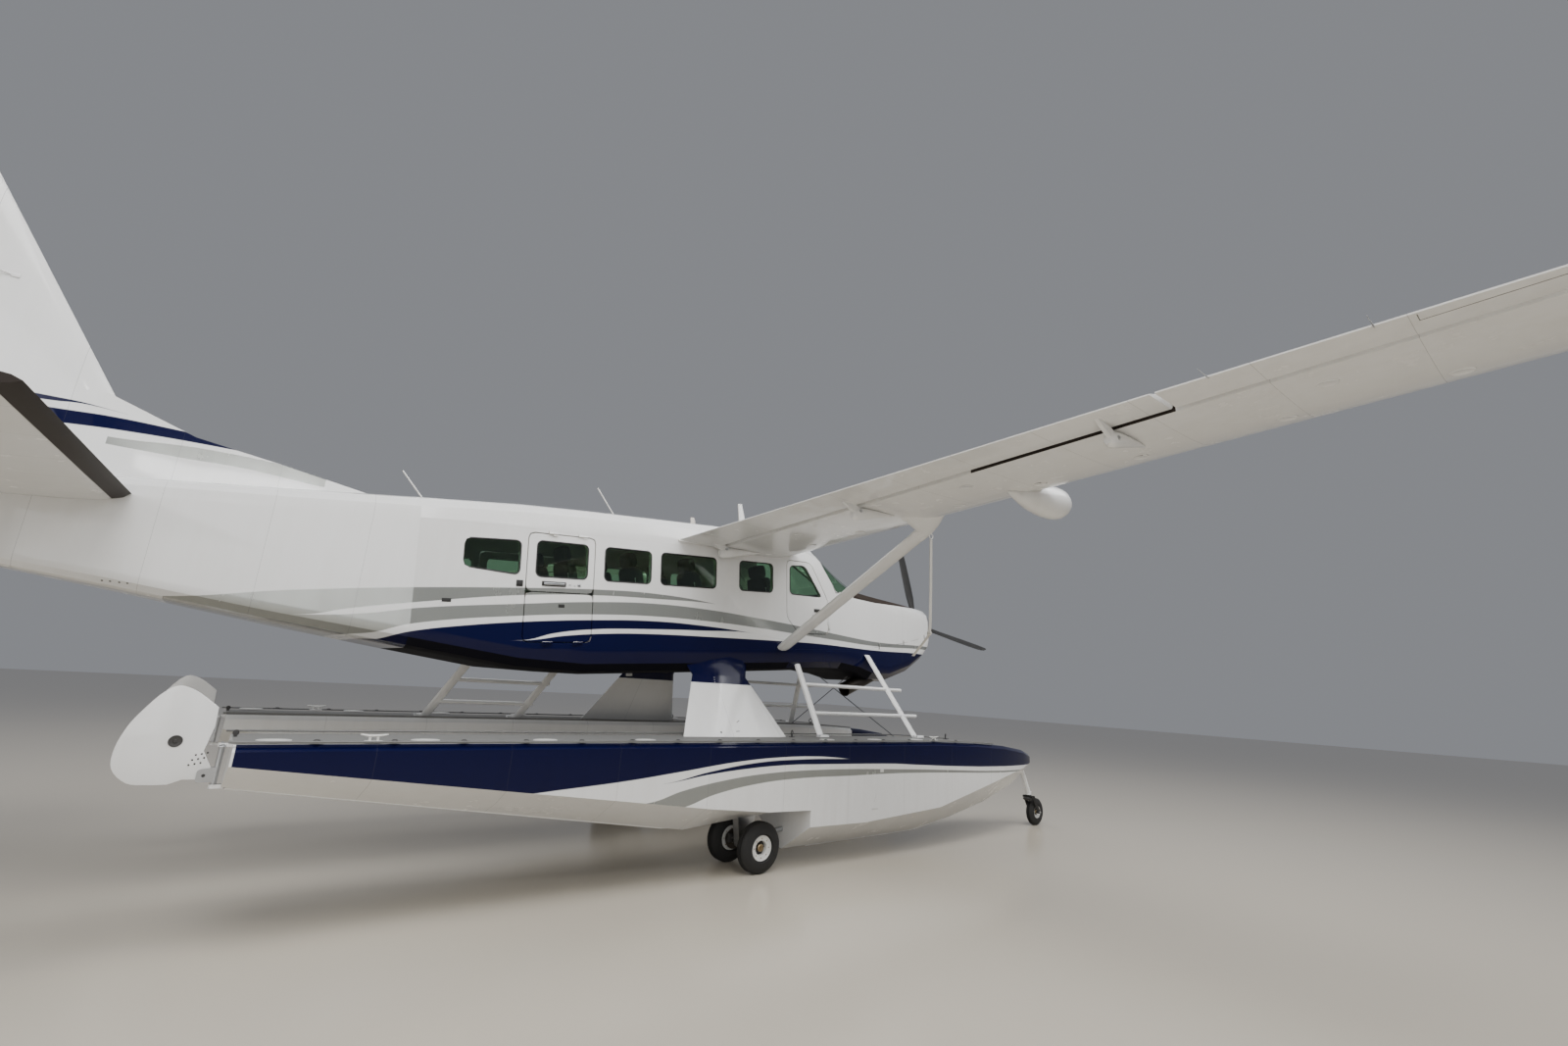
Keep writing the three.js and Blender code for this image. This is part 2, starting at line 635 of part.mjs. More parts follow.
function wingAt(v) {
  const i = Math.max(1, WING.findIndex((s) => s.v >= v));
  const a = WING[i - 1];
  const b = WING[i];
  const t = (v - a.v) / (b.v - a.v);
  const mix = (key) => a[key] + (b[key] - a[key]) * t;
  return { v, le: mix('le'), te: mix('te'), leW: mix('leW'), teW: mix('teW'), thick: mix('thick') };
}

// Half thickness of the section as a share of the chord, blunt at the trailing edge
function halfThickness(x, thick) {
  return 5 * thick * (0.2969 * Math.sqrt(x) - 0.126 * x - 0.3516 * x ** 2 + 0.2843 * x ** 3 - 0.0985 * x ** 4);
}

function camber(x) {
  return 0.02 * 4 * x * (1 - x) * (1.3 - 0.6 * x);
}

function wingRing(s) {
  const chord = s.le - s.te;
  const at = (x, sign) => {
    const w = s.leW + (s.teW - s.leW) * x + chord * (camber(x) + sign * (halfThickness(x, s.thick) + 0.001));
    return new THREE.Vector3(s.le - chord * x, s.v, w);
  };
  const upper = CHORD_STEPS.map((x) => at(x, 1));
  const lower = CHORD_STEPS.slice(1).reverse().map((x) => at(x, -1));
  return [...upper, ...lower];
}

function wingBody() {
  return loft(WING.map(wingRing), ['x', 'z']);
}

// The thick stretch of wing that crosses over the cabin
function wingCentre() {
  const root = wingRing(WING[0]);
  const outer = 830 - TOUCH;
  const rings = [-outer, outer].map((v) => root.map((p) => new THREE.Vector3(p.x, v, p.z)));
  return loft(rings, ['x', 'z']).intersect(box(-6000, -3000, -900, 900, ROOF_LINE, 2200));
}

// A hinged surface: round nose on the hinge line, thin trailing edge
function surfaceRing(hinge, radius, trail, place) {
  const points = [];
  const direction = Math.atan2(trail[1] - hinge[1], trail[0] - hinge[0]);
  for (let i = 0; i <= 6; i += 1) {
    const angle = direction + Math.PI / 2 + (i / 6) * Math.PI;
    points.push([hinge[0] + radius * Math.cos(angle), hinge[1] + radius * Math.sin(angle)]);
  }
  const edge = 4;
  const side = direction + Math.PI / 2;
  points.push([trail[0] - edge * Math.cos(side), trail[1] - edge * Math.sin(side)]);
  points.push([trail[0] + edge * Math.cos(side), trail[1] + edge * Math.sin(side)]);
  return points.map(([a, b]) => place(a, b));
}

function surfaceNose(v) {
  const s = wingAt(v);
  const chord = s.le - s.te;
  const x = (s.le - CONTROL_U) / chord;
  const radius = chord * halfThickness(x, s.thick) * 0.94;
  const w = s.leW + (s.teW - s.leW) * x + chord * camber(x);
  return { u: CONTROL_U - radius, w, radius, trail: [s.te, s.teW + 2] };
}

function surfaceAlongWing(span) {
  const rings = span.map((v) => {
    const nose = surfaceNose(v);
    return surfaceRing([nose.u, nose.w], nose.radius, nose.trail, (a, b) => new THREE.Vector3(a, v, b));
  });
  return loft(rings, ['x', 'z']);
}

// Flap brackets: places along the span, plates square to the flap's axis
const FLAP_BRACKETS = [960, 3040, 5330];
const BRACKET = { thick: 26, drop: 120 };

function flapPivot(v) {
  const [inner, outer] = FLAP_SPAN.map((end) => surfaceNose(end).w - BRACKET.drop);
  const t = (v - FLAP_SPAN[0]) / (FLAP_SPAN[1] - FLAP_SPAN[0]);
  return { u: CONTROL_U - 20, w: inner + (outer - inner) * t };
}

function flapRise() {
  return Math.atan2(flapPivot(FLAP_SPAN[1]).w - flapPivot(FLAP_SPAN[0]).w, FLAP_SPAN[1] - FLAP_SPAN[0]);
}

// Corners are places from the pivot, and the plate reaches from one side of it to the other
function bracketPlates(corners, from, to) {
  const plate = alongY(roundedShape(corners, 10), from, to).rotate([(flapRise() * 180) / Math.PI, 0, 0]);
  return joined(FLAP_BRACKETS.map((v) => {
    const p = flapPivot(v);
    return moved(plate, p.u, v, p.w);
  }));
}

function wingBrackets() {
  return bracketPlates([[-30, -30], [40, -32], [420, 90], [260, 150], [60, 60], [10, 34], [-30, 26]], -BRACKET.thick, -HINGE_GAP);
}

function flapArms() {
  return bracketPlates([[24, -24], [24, 20], [-60, 60], [-260, 100], [-60, -24]], 0, BRACKET.thick);
}

// A radar pod under the right wing
const POD = { v: 4140, w: 1665, nose: -3520, tail: -4420, radius: 150 };

function radarPod() {
  const profile = [[0, POD.tail], [48, POD.tail + 130], [105, POD.tail + 330], [142, POD.tail + 560],
    [POD.radius, POD.nose - 200], [144, POD.nose - 110], [118, POD.nose - 40], [70, POD.nose - 8], [0, POD.nose]];
  return moved(axisToX(lathed(profile, 24)), 0, -POD.v, POD.w);
}

function buildWings() {
  const body = wingBody();
  const behind = CONTROL_U + RUN_GAP;
  const bay = box(-7000, behind, FLAP_SPAN[0] - 30, AILERON_SPAN[1] + 12, 1000, 2500);
  const fixed = body.subtract(bay).add(wingBrackets());
  const flap = surfaceAlongWing(FLAP_SPAN).add(flapArms());
  const nose = surfaceNose(AILERON_SPAN[1]);
  const aileron = surfaceAlongWing(AILERON_SPAN);
  const pinStart = AILERON_SPAN[1] + HINGE_GAP;
  const pin = rod([nose.u, pinStart, nose.w], [nose.u, pinStart + 40, nose.w], 14);
  for (const side of ['left', 'right']) {
    const wing = onSide(fixed.add(pin), side);
    addNode(`wing_${side}`, side === 'right' ? wing.add(radarPod()) : wing, PAINT);
    addNode(`flap_${side}`, onSide(flap, side), PAINT);
    addNode(`aileron_${side}`, onSide(aileron, side), PAINT);
  }
  return fixed;
}

// Wing strut: foot on the fuselage side, head under the wing
const STRUT = { foot: [-4110, 816, 400], head: [-3985, 2905, 1546], chord: 200, headChord: 225, thick: 78 };
// How far past the head each flare ring lies, and its edges along the craft
const STRUT_FLARE = [{ past: 0.055, back: -4470, front: -3895 }, { past: 0.14, back: -4490, front: -3985 }];

function strutSolid() {
  const [fu, fv, fw] = STRUT.foot;
  const [hu, hv, hw] = STRUT.head;
  const ring = (t, chord, thick, u = fu + (hu - fu) * t) => {
    const centre = [u, fv + TOUCH + (hv - fv) * t, fw + (hw - fw) * t];
    const points = [];
    for (let i = 0; i < 10; i += 1) {
      const angle = (i / 10) * Math.PI * 2;
      points.push(new THREE.Vector3(
        centre[0] + (chord / 2) * Math.cos(angle), centre[1], centre[2] + (thick / 2) * Math.sin(angle) * 1.15));
    }
    return points;
  };
  const flare = STRUT_FLARE.map(({ past, back, front }) => ring(1 + past, front - back, STRUT.thick, (front + back) / 2));
  return loft([ring(0, STRUT.chord, STRUT.thick), ring(1, STRUT.headChord, STRUT.thick), ...flare], ['x', 'z']);
}

// A mooring ring in front of each strut's head, on a lug
const RING = { u: -3885, v: 2912, w: 1502, radius: 26, wire: 5 };

function mooringRing() {
  const geometry = new THREE.TorusGeometry(RING.radius, RING.wire, 6, 16);
  geometry.rotateX(Math.PI / 2);
  const ring = moved(manifoldOf(geometry), RING.u, RING.v, RING.w);
  const lug = box(-4010, RING.u + 12, RING.v - 6, RING.v + 6, RING.w + RING.radius - 4, RING.w + RING.radius + 34);
  return ring.add(lug);
}

function buildWingStruts(fixed) {
  const wingRoom = joined([fixed, moved(fixed, 0, 0, -TOUCH), moved(fixed, TOUCH, 0, 0)]);
  const strut = strutSolid().add(mooringRing()).subtract(wingRoom);
  for (const side of ['left', 'right']) {
    addNode(`wing_strut_${side}`, onSide(strut, side), PAINT);
  }
}

// A mooring strap that hangs from the right ring: its width, thickness and route, over the ground
const STRAP = { width: 38, thick: 6 };
const STRAP_X = 963.3;
const STRAP_ROUTE = [
  [STRAP_X, -2912, 3319], [STRAP_X, -2912, 3200], [STRAP_X, -2912, 2950], [STRAP_X, -2911, 2700],
  [STRAP_X, -2908, 2500], [STRAP_X, -2903, 2400], [STRAP_X, -2889, 2350], [STRAP_X, -2850, 2300],
  [STRAP_X, -2780, 2230], [STRAP_X, -2696, 2144],
];
const STRAP_STEPS = 26;

function buildStrap() {
  const curve = new THREE.CatmullRomCurve3(STRAP_ROUTE.map((p) => new THREE.Vector3(...p)));
  const shape = new THREE.Shape();
  shape.absellipse(0, 0, STRAP.width / 2, STRAP.thick / 2, 0, Math.PI * 2);
  const geometry = new THREE.ExtrudeGeometry(shape, { steps: STRAP_STEPS, extrudePath: curve, curveSegments: 4 });
  addNode('mooring_strap', manifoldOf(geometry), STRAP_CLOTH, craft);
}

// Tail
const STAB = {
  root: { v: 0, le: -9985, te: -11300, thick: 150 },
  tip: { v: 2960, le: -10182, te: -11080, thick: 78 },
  hinge: -10830,
  w: 1503,
};
const ELEVATOR = { root: 235, tube: 16, nose: 0.42 };
const FIN = [
  { w: 1560, le: -9700, hinge: -11150, half: 72 },
  { w: 2320, le: -10231, hinge: -11240, half: 62 },
  { w: 3960, le: -11100, hinge: -11450, half: 34 },
];
const TAIL_SHELL = { skin: 28, end: -9900 };
const RUDDER_FOOT = { w: 1210, hinge: -11100, te: -11640, half: 60 };
const RUDDER_LEAN = (RUDDER_FOOT.hinge - FIN[2].hinge) / (FIN[2].w - RUDDER_FOOT.w);
const FOOT_BOSS = { radius: 18, depth: 46, cover: 14 };
const DORSAL = [
  { u: -8330, w: 1760, half: 14 },
  { u: -9050, w: 1939, half: 20 },
  { u: -9720, w: 2087, half: 28 },
  { u: -10260, w: 2330, half: 36 },
  { u: -10500, w: 2330, half: 36 },
];

function foilRing(front, back, half, place) {
  const chord = front - back;
  const steps = [0, 0.06, 0.2, 0.45, 1];
  const share = [0.0, 0.5, 0.85, 1, 0.95];
  const left = steps.map((x, i) => place(front - chord * x, half * share[i]));
  const right = steps.slice(1).reverse().map((x, i) => place(front - chord * x, -half * share[4 - i]));
  return [...left, ...right];
}

function hingeAtFin(w) {
  const low = RUDDER_FOOT;
  const high = FIN[2];
  const t = (w - low.w) / (high.w - low.w);
  return { u: low.hinge + (high.hinge - low.hinge) * t, half: low.half + (high.half - low.half) * t };
}

function stabilizerBody(grow) {
  const rings = [-1, 0, 1].map((way) => {
    const s = way === 0 ? STAB.root : STAB.tip;
    const back = STAB.hinge + s.thick * ELEVATOR.nose + RUN_GAP;
    const place = (u, t) => new THREE.Vector3(u, way * s.v, STAB.w + t);
    return foilRing(s.le + grow, back - grow, s.thick / 2 + grow, place);
  });
  return loft(rings, ['x', 'z']);
}

function elevatorHalf() {
  const rings = [ELEVATOR.root, STAB.tip.v].map((v) => {
    const t = v / STAB.tip.v;
    const te = STAB.root.te + (STAB.tip.te - STAB.root.te) * t;
    const radius = (STAB.root.thick + (STAB.tip.thick - STAB.root.thick) * t) * ELEVATOR.nose;
    return surfaceRing([STAB.hinge, STAB.w], radius, [te, STAB.w], (u, w) => new THREE.Vector3(u, v, w));
  });
  return loft(rings, ['x', 'z']);
}

// A point on the rudder's hinge line, below its foot
function belowRudder(distance) {
  return [RUDDER_FOOT.hinge + RUDDER_LEAN * distance, 0, RUDDER_FOOT.w - distance];
}

function buildTail() {
  const cone = fuselageBody(CABIN_END - TOUCH, TAIL_END);
  const coneGrown = fuselageBody(CABIN_END - TOUCH + 1, TAIL_END - 1, -TOUCH);
  const tubeBore = rod([STAB.hinge, -400, STAB.w], [STAB.hinge, 400, STAB.w], ELEVATOR.tube + 0.6, 24);
  const { radius, depth, cover } = FOOT_BOSS;
  const footBoss = rod(belowRudder(depth), belowRudder(HINGE_GAP), radius)
    .add(box(RUDDER_FOOT.hinge, TAIL_END + 60, -14, 14, RUDDER_FOOT.w - depth, RUDDER_FOOT.w - cover));
  const slot = stabilizerBody(TOUCH).add(tubeBore);
  const hollow = fuselageBody(CABIN_END, TAIL_SHELL.end, TAIL_SHELL.skin);
  addNode('tail_cone', cone.add(footBoss).subtract(slot).subtract(hollow), PAINT);

  const finRings = FIN.map((s) => {
    const hinge = hingeAtFin(s.w);
    const back = hinge.u + hinge.half + RUN_GAP;
    return foilRing(s.le, back, s.half, (u, v) => new THREE.Vector3(u, v, s.w));
  });
  const dorsalRings = DORSAL.map((s) => [
    new THREE.Vector3(s.u, -s.half * 4, 1400), new THREE.Vector3(s.u, s.half * 4, 1400),
    new THREE.Vector3(s.u, s.half, s.w - 8), new THREE.Vector3(s.u, 0, s.w), new THREE.Vector3(s.u, -s.half, s.w - 8),
  ]);
  const fin = loft(finRings, ['x', 'y']).add(loft(dorsalRings, ['y', 'z'])).subtract(coneGrown);
  const finOnly = fin.intersect(box(-13000, CABIN_END - 100, -600, 600, 1560, 5000));
  addNode('fin', finOnly, PAINT);

  // The rudder's foot is square to its hinge line, so that it turns over the boss
  const foot = hingeAtFin(RUDDER_FOOT.w);
  const footPlace = (u, v) => new THREE.Vector3(u, v, RUDDER_FOOT.w + RUDDER_LEAN * (u - foot.u));
  const top = hingeAtFin(RUDDER_TOP.w);
  const topPlace = (u, v) => new THREE.Vector3(u, v, RUDDER_TOP.w);
  const rudder = loft([
    surfaceRing([foot.u, 0], foot.half, [RUDDER_FOOT.te, 0], footPlace),
    surfaceRing([top.u, 0], top.half, [RUDDER_TOP.u, 0], topPlace),
  ], ['x', 'y']);
  addNode('rudder', rudder, PAINT);

  addNode('stabilizer', stabilizerBody(0), PAINT);
  const half = elevatorHalf();
  const tube = rod([STAB.hinge, -ELEVATOR.root - 20, STAB.w], [STAB.hinge, ELEVATOR.root + 20, STAB.w], ELEVATOR.tube, 24);
  addNode('elevators', joined([half, mirrored(half), tube]), PAINT);
}

// Cabin furniture
const SEAT_ROWS = [-3850, -4900, -5650, -6400];
const FLOOR_PANEL = 14;
const SEAT = { v: 370, width: 430, depth: 460, height: 340, back: 620, thick: 110 };

function buildFurniture() {
  const floor = FLOOR + TOUCH;
  const seats = SEAT_ROWS.flatMap((u) => [-1, 1].map((way) => {
    const v = way * SEAT.v;
    const base = box(u - 150, u + 150, v - 120, v + 120, floor, floor + SEAT.height - 90);
    const cushion = box(u - SEAT.depth / 2, u + SEAT.depth / 2, v - SEAT.width / 2, v + SEAT.width / 2,
      floor + SEAT.height - 100, floor + SEAT.height);
    const back = box(u - SEAT.depth / 2 - SEAT.thick, u - SEAT.depth / 2 + 10, v - SEAT.width / 2,
      v + SEAT.width / 2, floor + SEAT.height - 100, floor + SEAT.height + SEAT.back);
    return joined([base, cushion, back]);
  }));
  const front = PANEL_U - TOUCH;
  const panel = box(SEAT_ROWS[3] - 400, front, -590, 590, floor, floor + FLOOR_PANEL);
  const pedestal = box(front - 200, front, -110, 110, floor, 1000);
  const instruments = box(front - 110, front, -560, 560, 720, 1110);
  addNode('cabin_interior', joined([panel, pedestal, instruments, ...seats]), CLOTH);
}

// Two blade aerials side by side on the wing's centre, and two swept whips on the roof behind it
function antennas() {
  const blade = (v) => alongY(roundedShape([[-4585, 1700], [-4455, 1700], [-4565, 2145], [-4620, 2145]], 6), v - 6, v + 6);
  const whip = (u, tip, top) => rod([u, 0, stationAt(u).top - 20], [tip, 0, top], 7, 8);
  return joined([blade(-550), blade(550), whip(-5905, -6216, 2201), whip(-7930, -8206, 2067)]);
}

// Floats: x, half width, deck, chine and keel heights
const AFTERBODY = [
  { x: FLOAT.stern, half: 430, deck: 1223, chine: 1100, keel: 924 },
  { x: -730, half: 444, deck: 1223, chine: 655, keel: 405 },
  { x: -40, half: 444, deck: 1223, chine: 585, keel: 467 },
  { x: FLOAT.step + 20, half: 444, deck: 1223, chine: 570, keel: 500 },
];
const FOREBODY = [
  { x: FLOAT.step, half: 444, deck: 1223, chine: 412, keel: 131 },
  { x: 1300, half: 444, deck: 1223, chine: 402, keel: 133 },
  { x: 2600, half: 444, deck: 1222, chine: 480, keel: 155 },
  { x: 3400, half: 425, deck: 1200, chine: 640, keel: 265 },
  { x: 4100, half: 365, deck: 1160, chine: 760, keel: 400 },
  { x: 4750, half: 250, deck: 1090, chine: 850, keel: 590 },
  { x: 5120, half: 130, deck: 1020, chine: 900, keel: 770 },
  { x: FLOAT.bow, half: 40, deck: 965, chine: 920, keel: 880 },
];

function hullRing(s) {
  const edge = Math.min(40, s.half * 0.4);
  const keel = Math.min(14, s.half * 0.3);
  const side = [[-keel, s.keel], [-s.half, s.chine], [-s.half, s.deck - edge], [edge - s.half, s.deck]];
  const other = side.map(([y, z]) => [-y, z]).reverse();
  return [...side, [0, s.deck + 14], ...other].map(([y, z]) => new THREE.Vector3(s.x, y, z));
}

const RUDDER_POST = { x: -4285, low: 945, high: 1175, radius: 16, lug: 24 };

function transomLugs() {
  const { x, low, high, radius, lug } = RUDDER_POST;
  return joined([[low - TOUCH - lug, low - TOUCH], [high + TOUCH, high + TOUCH + lug]].flatMap(([z0, z1]) => [
    rod([x, 0, z0], [x, 0, z1], radius + 8),
    box(x, FLOAT.stern + 30, -20, 20, z0, z1),
  ]));
}

function hullBody() {
  return joined([loft(AFTERBODY.map(hullRing), ['y', 'z']), loft(FOREBODY.map(hullRing), ['y', 'z'])]);
}

// Each wheel stands on one of its faces, so its corners lie a little outside the radius
const TYRE_FACES = 18;

function wheel(radius, width, bore) {
  const half = width / 2;
  const profile = [[bore, -half * 0.7], [radius * 0.58, -half * 0.7], [radius * 0.62, -half], [radius * 0.88, -half],
    [radius, -half * 0.45], [radius, half * 0.45], [radius * 0.88, half], [radius * 0.62, half],
    [radius * 0.58, half * 0.7], [bore, half * 0.7], [bore, -half * 0.7]];
  return lathed(profile.map(([r, y]) => [r / Math.cos(Math.PI / TYRE_FACES), y]), TYRE_FACES)
    .rotate([0, 180 / TYRE_FACES, 0]);
}

function axleEnds(halfLength, radius, x, z) {
  return rod([x, -halfLength, z], [x, halfLength, z], radius, 16);
}

// Two wheels on one turning axle
function mainWheels() {
  const { radius, width, bore, offset, axle } = MAIN_WHEEL;
  const pair = [-1, 1].map((way) => moved(wheel(radius, width, bore - 2), 0, way * offset, radius));
  return joined([...pair, axleEnds(offset + width / 2, axle, 0, radius)]);
}

function mainLeg(hull) {
  const z = MAIN_WHEEL.radius;
  const leg = alongY(roundedShape([[-70, z - 50], [60, z - 50], [130, 700], [-150, 700]], 30), -45, 45);
  const drag = rod([60, 0, z + 40], [FLOAT.step + 60, 0, z + 90], 26);
  const bore = axleEnds(200, MAIN_WHEEL.bore, 0, z);
  return joined([leg, drag]).subtract(bore).subtract(moved(hull, -TOUCH, 0, -TOUCH)).subtract(hull);
}

function noseLeg(hull) {
  const top = [5040, 0, 900];
  const bottom = [NOSE_PIVOT_X, 0, 455];
  const leg = rod(top, bottom, 34).add(rod([NOSE_PIVOT_X, 0, 430], [NOSE_PIVOT_X, 0, 480], 40, 16));
  return leg.subtract(moved(hull, 0, 0, -TOUCH)).subtract(hull);
}

function noseFork() {
  const z = NOSE_WHEEL.radius;
  const top = 430 - HINGE_GAP;
  const head = rod([NOSE_PIVOT_X, 0, 392], [NOSE_PIVOT_X, 0, top], 40, 16);
  const arms = [-1, 1].map((way) => {
    const from = NOSE_WHEEL.width / 2 + 8;
    const range = way > 0 ? [from, from + 14] : [-from - 14, -from];
    const corners = [[NOSE_PIVOT_X - 34, 418], [NOSE_PIVOT_X + 36, 418], [NOSE_WHEEL.x + 26, z + 20],
      [NOSE_WHEEL.x + 22, z - 26], [NOSE_WHEEL.x - 30, z - 18]];
    return alongY(roundedShape(corners, 12), ...range);
  });
  const bridge = box(NOSE_PIVOT_X - 36, NOSE_PIVOT_X + 36, -NOSE_WHEEL.width / 2 - 22, NOSE_WHEEL.width / 2 + 22, 390, 418);
  return joined([head, bridge, ...arms, axleEnds(NOSE_WHEEL.width / 2 + 30, NOSE_WHEEL.axle, NOSE_WHEEL.x, z)]);
}

const BLADE_PIVOT = { x: -4345, z: 1000 };
const BLADE_THICK = 14;
const WATER_BLADE = [[-4312, 1040], [-4312, 988], [-4334, 974], [-4445, 977], [-4510, 947], [-4700, 960], [-4790, 1040],
  [-4800, 1170], [-4760, 1300], [-4640, 1500], [-4570, 1548], [-4350, 1420], [-4345, 1300], [-4372, 1150]];

function waterRudderPost() {
  const { x, low, high, radius } = RUDDER_POST;
  const inner = BLADE_THICK / 2 + HINGE_GAP;
  const cheeks = [[inner, inner + 8], [-inner - 8, -inner]].map(([y0, y1]) => alongY(roundedShape(
    [[x, BLADE_PIVOT.z - 40], [x, BLADE_PIVOT.z + 50], [BLADE_PIVOT.x - 36, BLADE_PIVOT.z + 36],
      [BLADE_PIVOT.x - 36, BLADE_PIVOT.z - 40]], 16), y0, y1));
  return joined([rod([x, 0, low], [x, 0, high], radius), ...cheeks]);
}

function waterRudderBlade() {
  const blade = alongY(roundedShape(WATER_BLADE, 12), -BLADE_THICK / 2, BLADE_THICK / 2);
  const postRoom = rod([RUDDER_POST.x, 0, 900], [RUDDER_POST.x, 0, 1250], RUDDER_POST.radius + 8);
  return blade.subtract(postRoom);
}

function buildFloats() {
  const hull = hullBody();
  const withLugs = hull.add(transomLugs());
  for (const side of ['left', 'right']) {
    const y = side === 'left' ? FLOAT.centre : -FLOAT.centre;
    const put = (name, solid, finish) => addNode(name, moved(solid, 0, y, 0), finish, craft);
    put(`float_${side}`, withLugs, NAVY);
    put(`main_leg_${side}`, mainLeg(hull), PAINT);
    put(`nose_leg_${side}`, noseLeg(hull), PAINT);
    put(`main_wheels_${side}`, mainWheels(), DARK);
    put(`nose_fork_${side}`, noseFork(), DARK);
    put(`nose_wheel_${side}`, moved(
      wheel(NOSE_WHEEL.radius, NOSE_WHEEL.width, NOSE_WHEEL.bore), NOSE_WHEEL.x, 0, NOSE_WHEEL.radius), DARK);
    put(`water_rudder_post_${side}`, waterRudderPost(), METAL);
    put(`water_rudder_${side}`, waterRudderBlade(), PAINT);
  }
  return hull;
}

// Pylons and struts between the floats and the fuselage, for the left side
const PYLON = [
  { y: FLOAT.centre - 60, z: 1150, aft: -770, fore: 620, thick: 130 },
  { y: 800, z: 1840, aft: -420, fore: 285, thick: 120 },
  { y: 700, z: 2150, aft: -640, fore: 340, thick: 170 },
];
const FRONT_RAILS = [
  { foot: [1090, 1290, 1180], head: [1125, 640, 2200] },
  { foot: [2790, 1290, 1160], head: [2440, 600, 2330] },
];
const FRONT_RUNGS = [1815, 1490];
const AFT_RAILS = [
  { foot: [-2590, 1130, 1180], head: [-2240, 560, 2010] },
  { foot: [-1610, 1130, 1180], head: [-1290, 560, 1960] },
];
const AFT_RUNGS = [1640, 1400];
const TUBE = { chord: 96, thick: 40 };

function pylonRing(s) {
  const points = [];
  const steps = [0, 0.08, 0.3, 0.6];
  const share = [0.25, 0.75, 1, 0.75];
  const chord = s.fore - s.aft;
  const half = s.thick / 2;
  steps.forEach((x, i) => points.push([s.fore - chord * x, half * share[i]]));
  points.push([s.aft, 6], [s.aft, -6]);
  [...steps].reverse().forEach((x, i) => points.push([s.fore - chord * x, -half * share[3 - i]]));
  return points.map(([x, t]) => new THREE.Vector3(x, s.y + t, s.z));
}

function flatTube(from, to, chord = TUBE.chord, thick = TUBE.thick) {
  const a = new THREE.Vector3(...from);
  const b = new THREE.Vector3(...to);
  const along = b.clone().sub(a).normalize();
  const fore = new THREE.Vector3(1, 0, 0).addScaledVector(along, -along.x).normalize();
  const across = along.clone().cross(fore);
  const rings = [a, b].map((centre) => Array.from({ length: 8 }, (_, i) => {
    const angle = (i / 8) * Math.PI * 2;
    return centre.clone().addScaledVector(fore, (chord / 2) * Math.cos(angle))
      .addScaledVector(across, (thick / 2) * Math.sin(angle));
  }));
  return loft(rings, ['x', 'y']);
}

function onRail(rail, z) {
  const [fx, fy, fz] = rail.foot;
  const [hx, hy, hz] = rail.head;
  const t = (z - fz) / (hz - fz);
  return [fx + (hx - fx) * t, fy + (hy - fy) * t, z];
}

function ladder(rails, rungs, overhang) {
  const parts = rails.map((r) => flatTube(r.foot, r.head));
  for (const z of rungs) {
    const a = onRail(rails[0], z);
    const b = onRail(rails[1], z);
    parts.push(rod([a[0], a[1], z], [b[0] + overhang, b[1], z], 22));
  }
  return joined(parts);
}

function buildFloatStruts(hull) {
  const tilt = airframe.matrix;
  const body = transformed(fuselageBody(FIREWALL - 1, CABIN_END, -TOUCH), tilt);
  const cowlBody = transformed(fuselageBody(-741, FIREWALL + 5, -TOUCH), tilt);
  const solidBody = joined([body, cowlBody]);
  const hullGrown = joined([moved(hull, 0, FLOAT.centre, TOUCH), moved(hull, 0, FLOAT.centre, -30)]);
  const trim = (solid) => solid.subtract(solidBody).subtract(hullGrown);
  const keepLow = box(-9000, 9000, -3000, 3000, 0, 2140);
  const pylon = trim(loft(PYLON.map(pylonRing), ['x', 'y']));
  const front = trim(ladder(FRONT_RAILS, FRONT_RUNGS, 270)).intersect(keepLow.add(box(2000, 3000, 0, 2000, 0, 2260)));
  const aft = trim(ladder(AFT_RAILS, AFT_RUNGS, 60));
  for (const side of ['left', 'right']) {
    addNode(`float_pylon_${side}`, onSide(pylon, side), PAINT, craft);
    addNode(`front_float_struts_${side}`, onSide(front, side), PAINT, craft);
  }
  addNode('aft_ladder', aft, PAINT, craft);
  const wires = [-1, 1].map((way) => rod(
    [2600, way * (FLOAT.centre - 260), 1200], [2420, -way * 440, 2040], 6, 8));
  const crossed = joined([...wires]).subtract(solidBody).subtract(hullGrown).subtract(mirrored(hullGrown));
  addNode('brace_wires', crossed.subtract(joined([front, mirrored(front)])), METAL, craft);
}

const doors = buildCabin();
buildDoors(doors);
buildWindshield();
buildNose();
buildPropeller();
const wingFixed = buildWings();
buildWingStruts(wingFixed);
buildStrap();
buildTail();
buildFurniture();
const hull = buildFloats();
buildFloatStruts(hull);

export default craft;
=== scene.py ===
# %% [markdown]
# # An amphibious floatplane, dressed piece by piece
#
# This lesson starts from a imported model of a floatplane, whose solids have the right sizes and joints but bare
# surfaces. Each step says what a piece or a finish is on the real aircraft, how it could be made, and why this way
# was chosen. Everything is in metres, with +X to the nose, +Y to the left and the ground at z = 0.

# %% Load the frame
import math

import bmesh
import bpy
from mathutils import Matrix, Vector


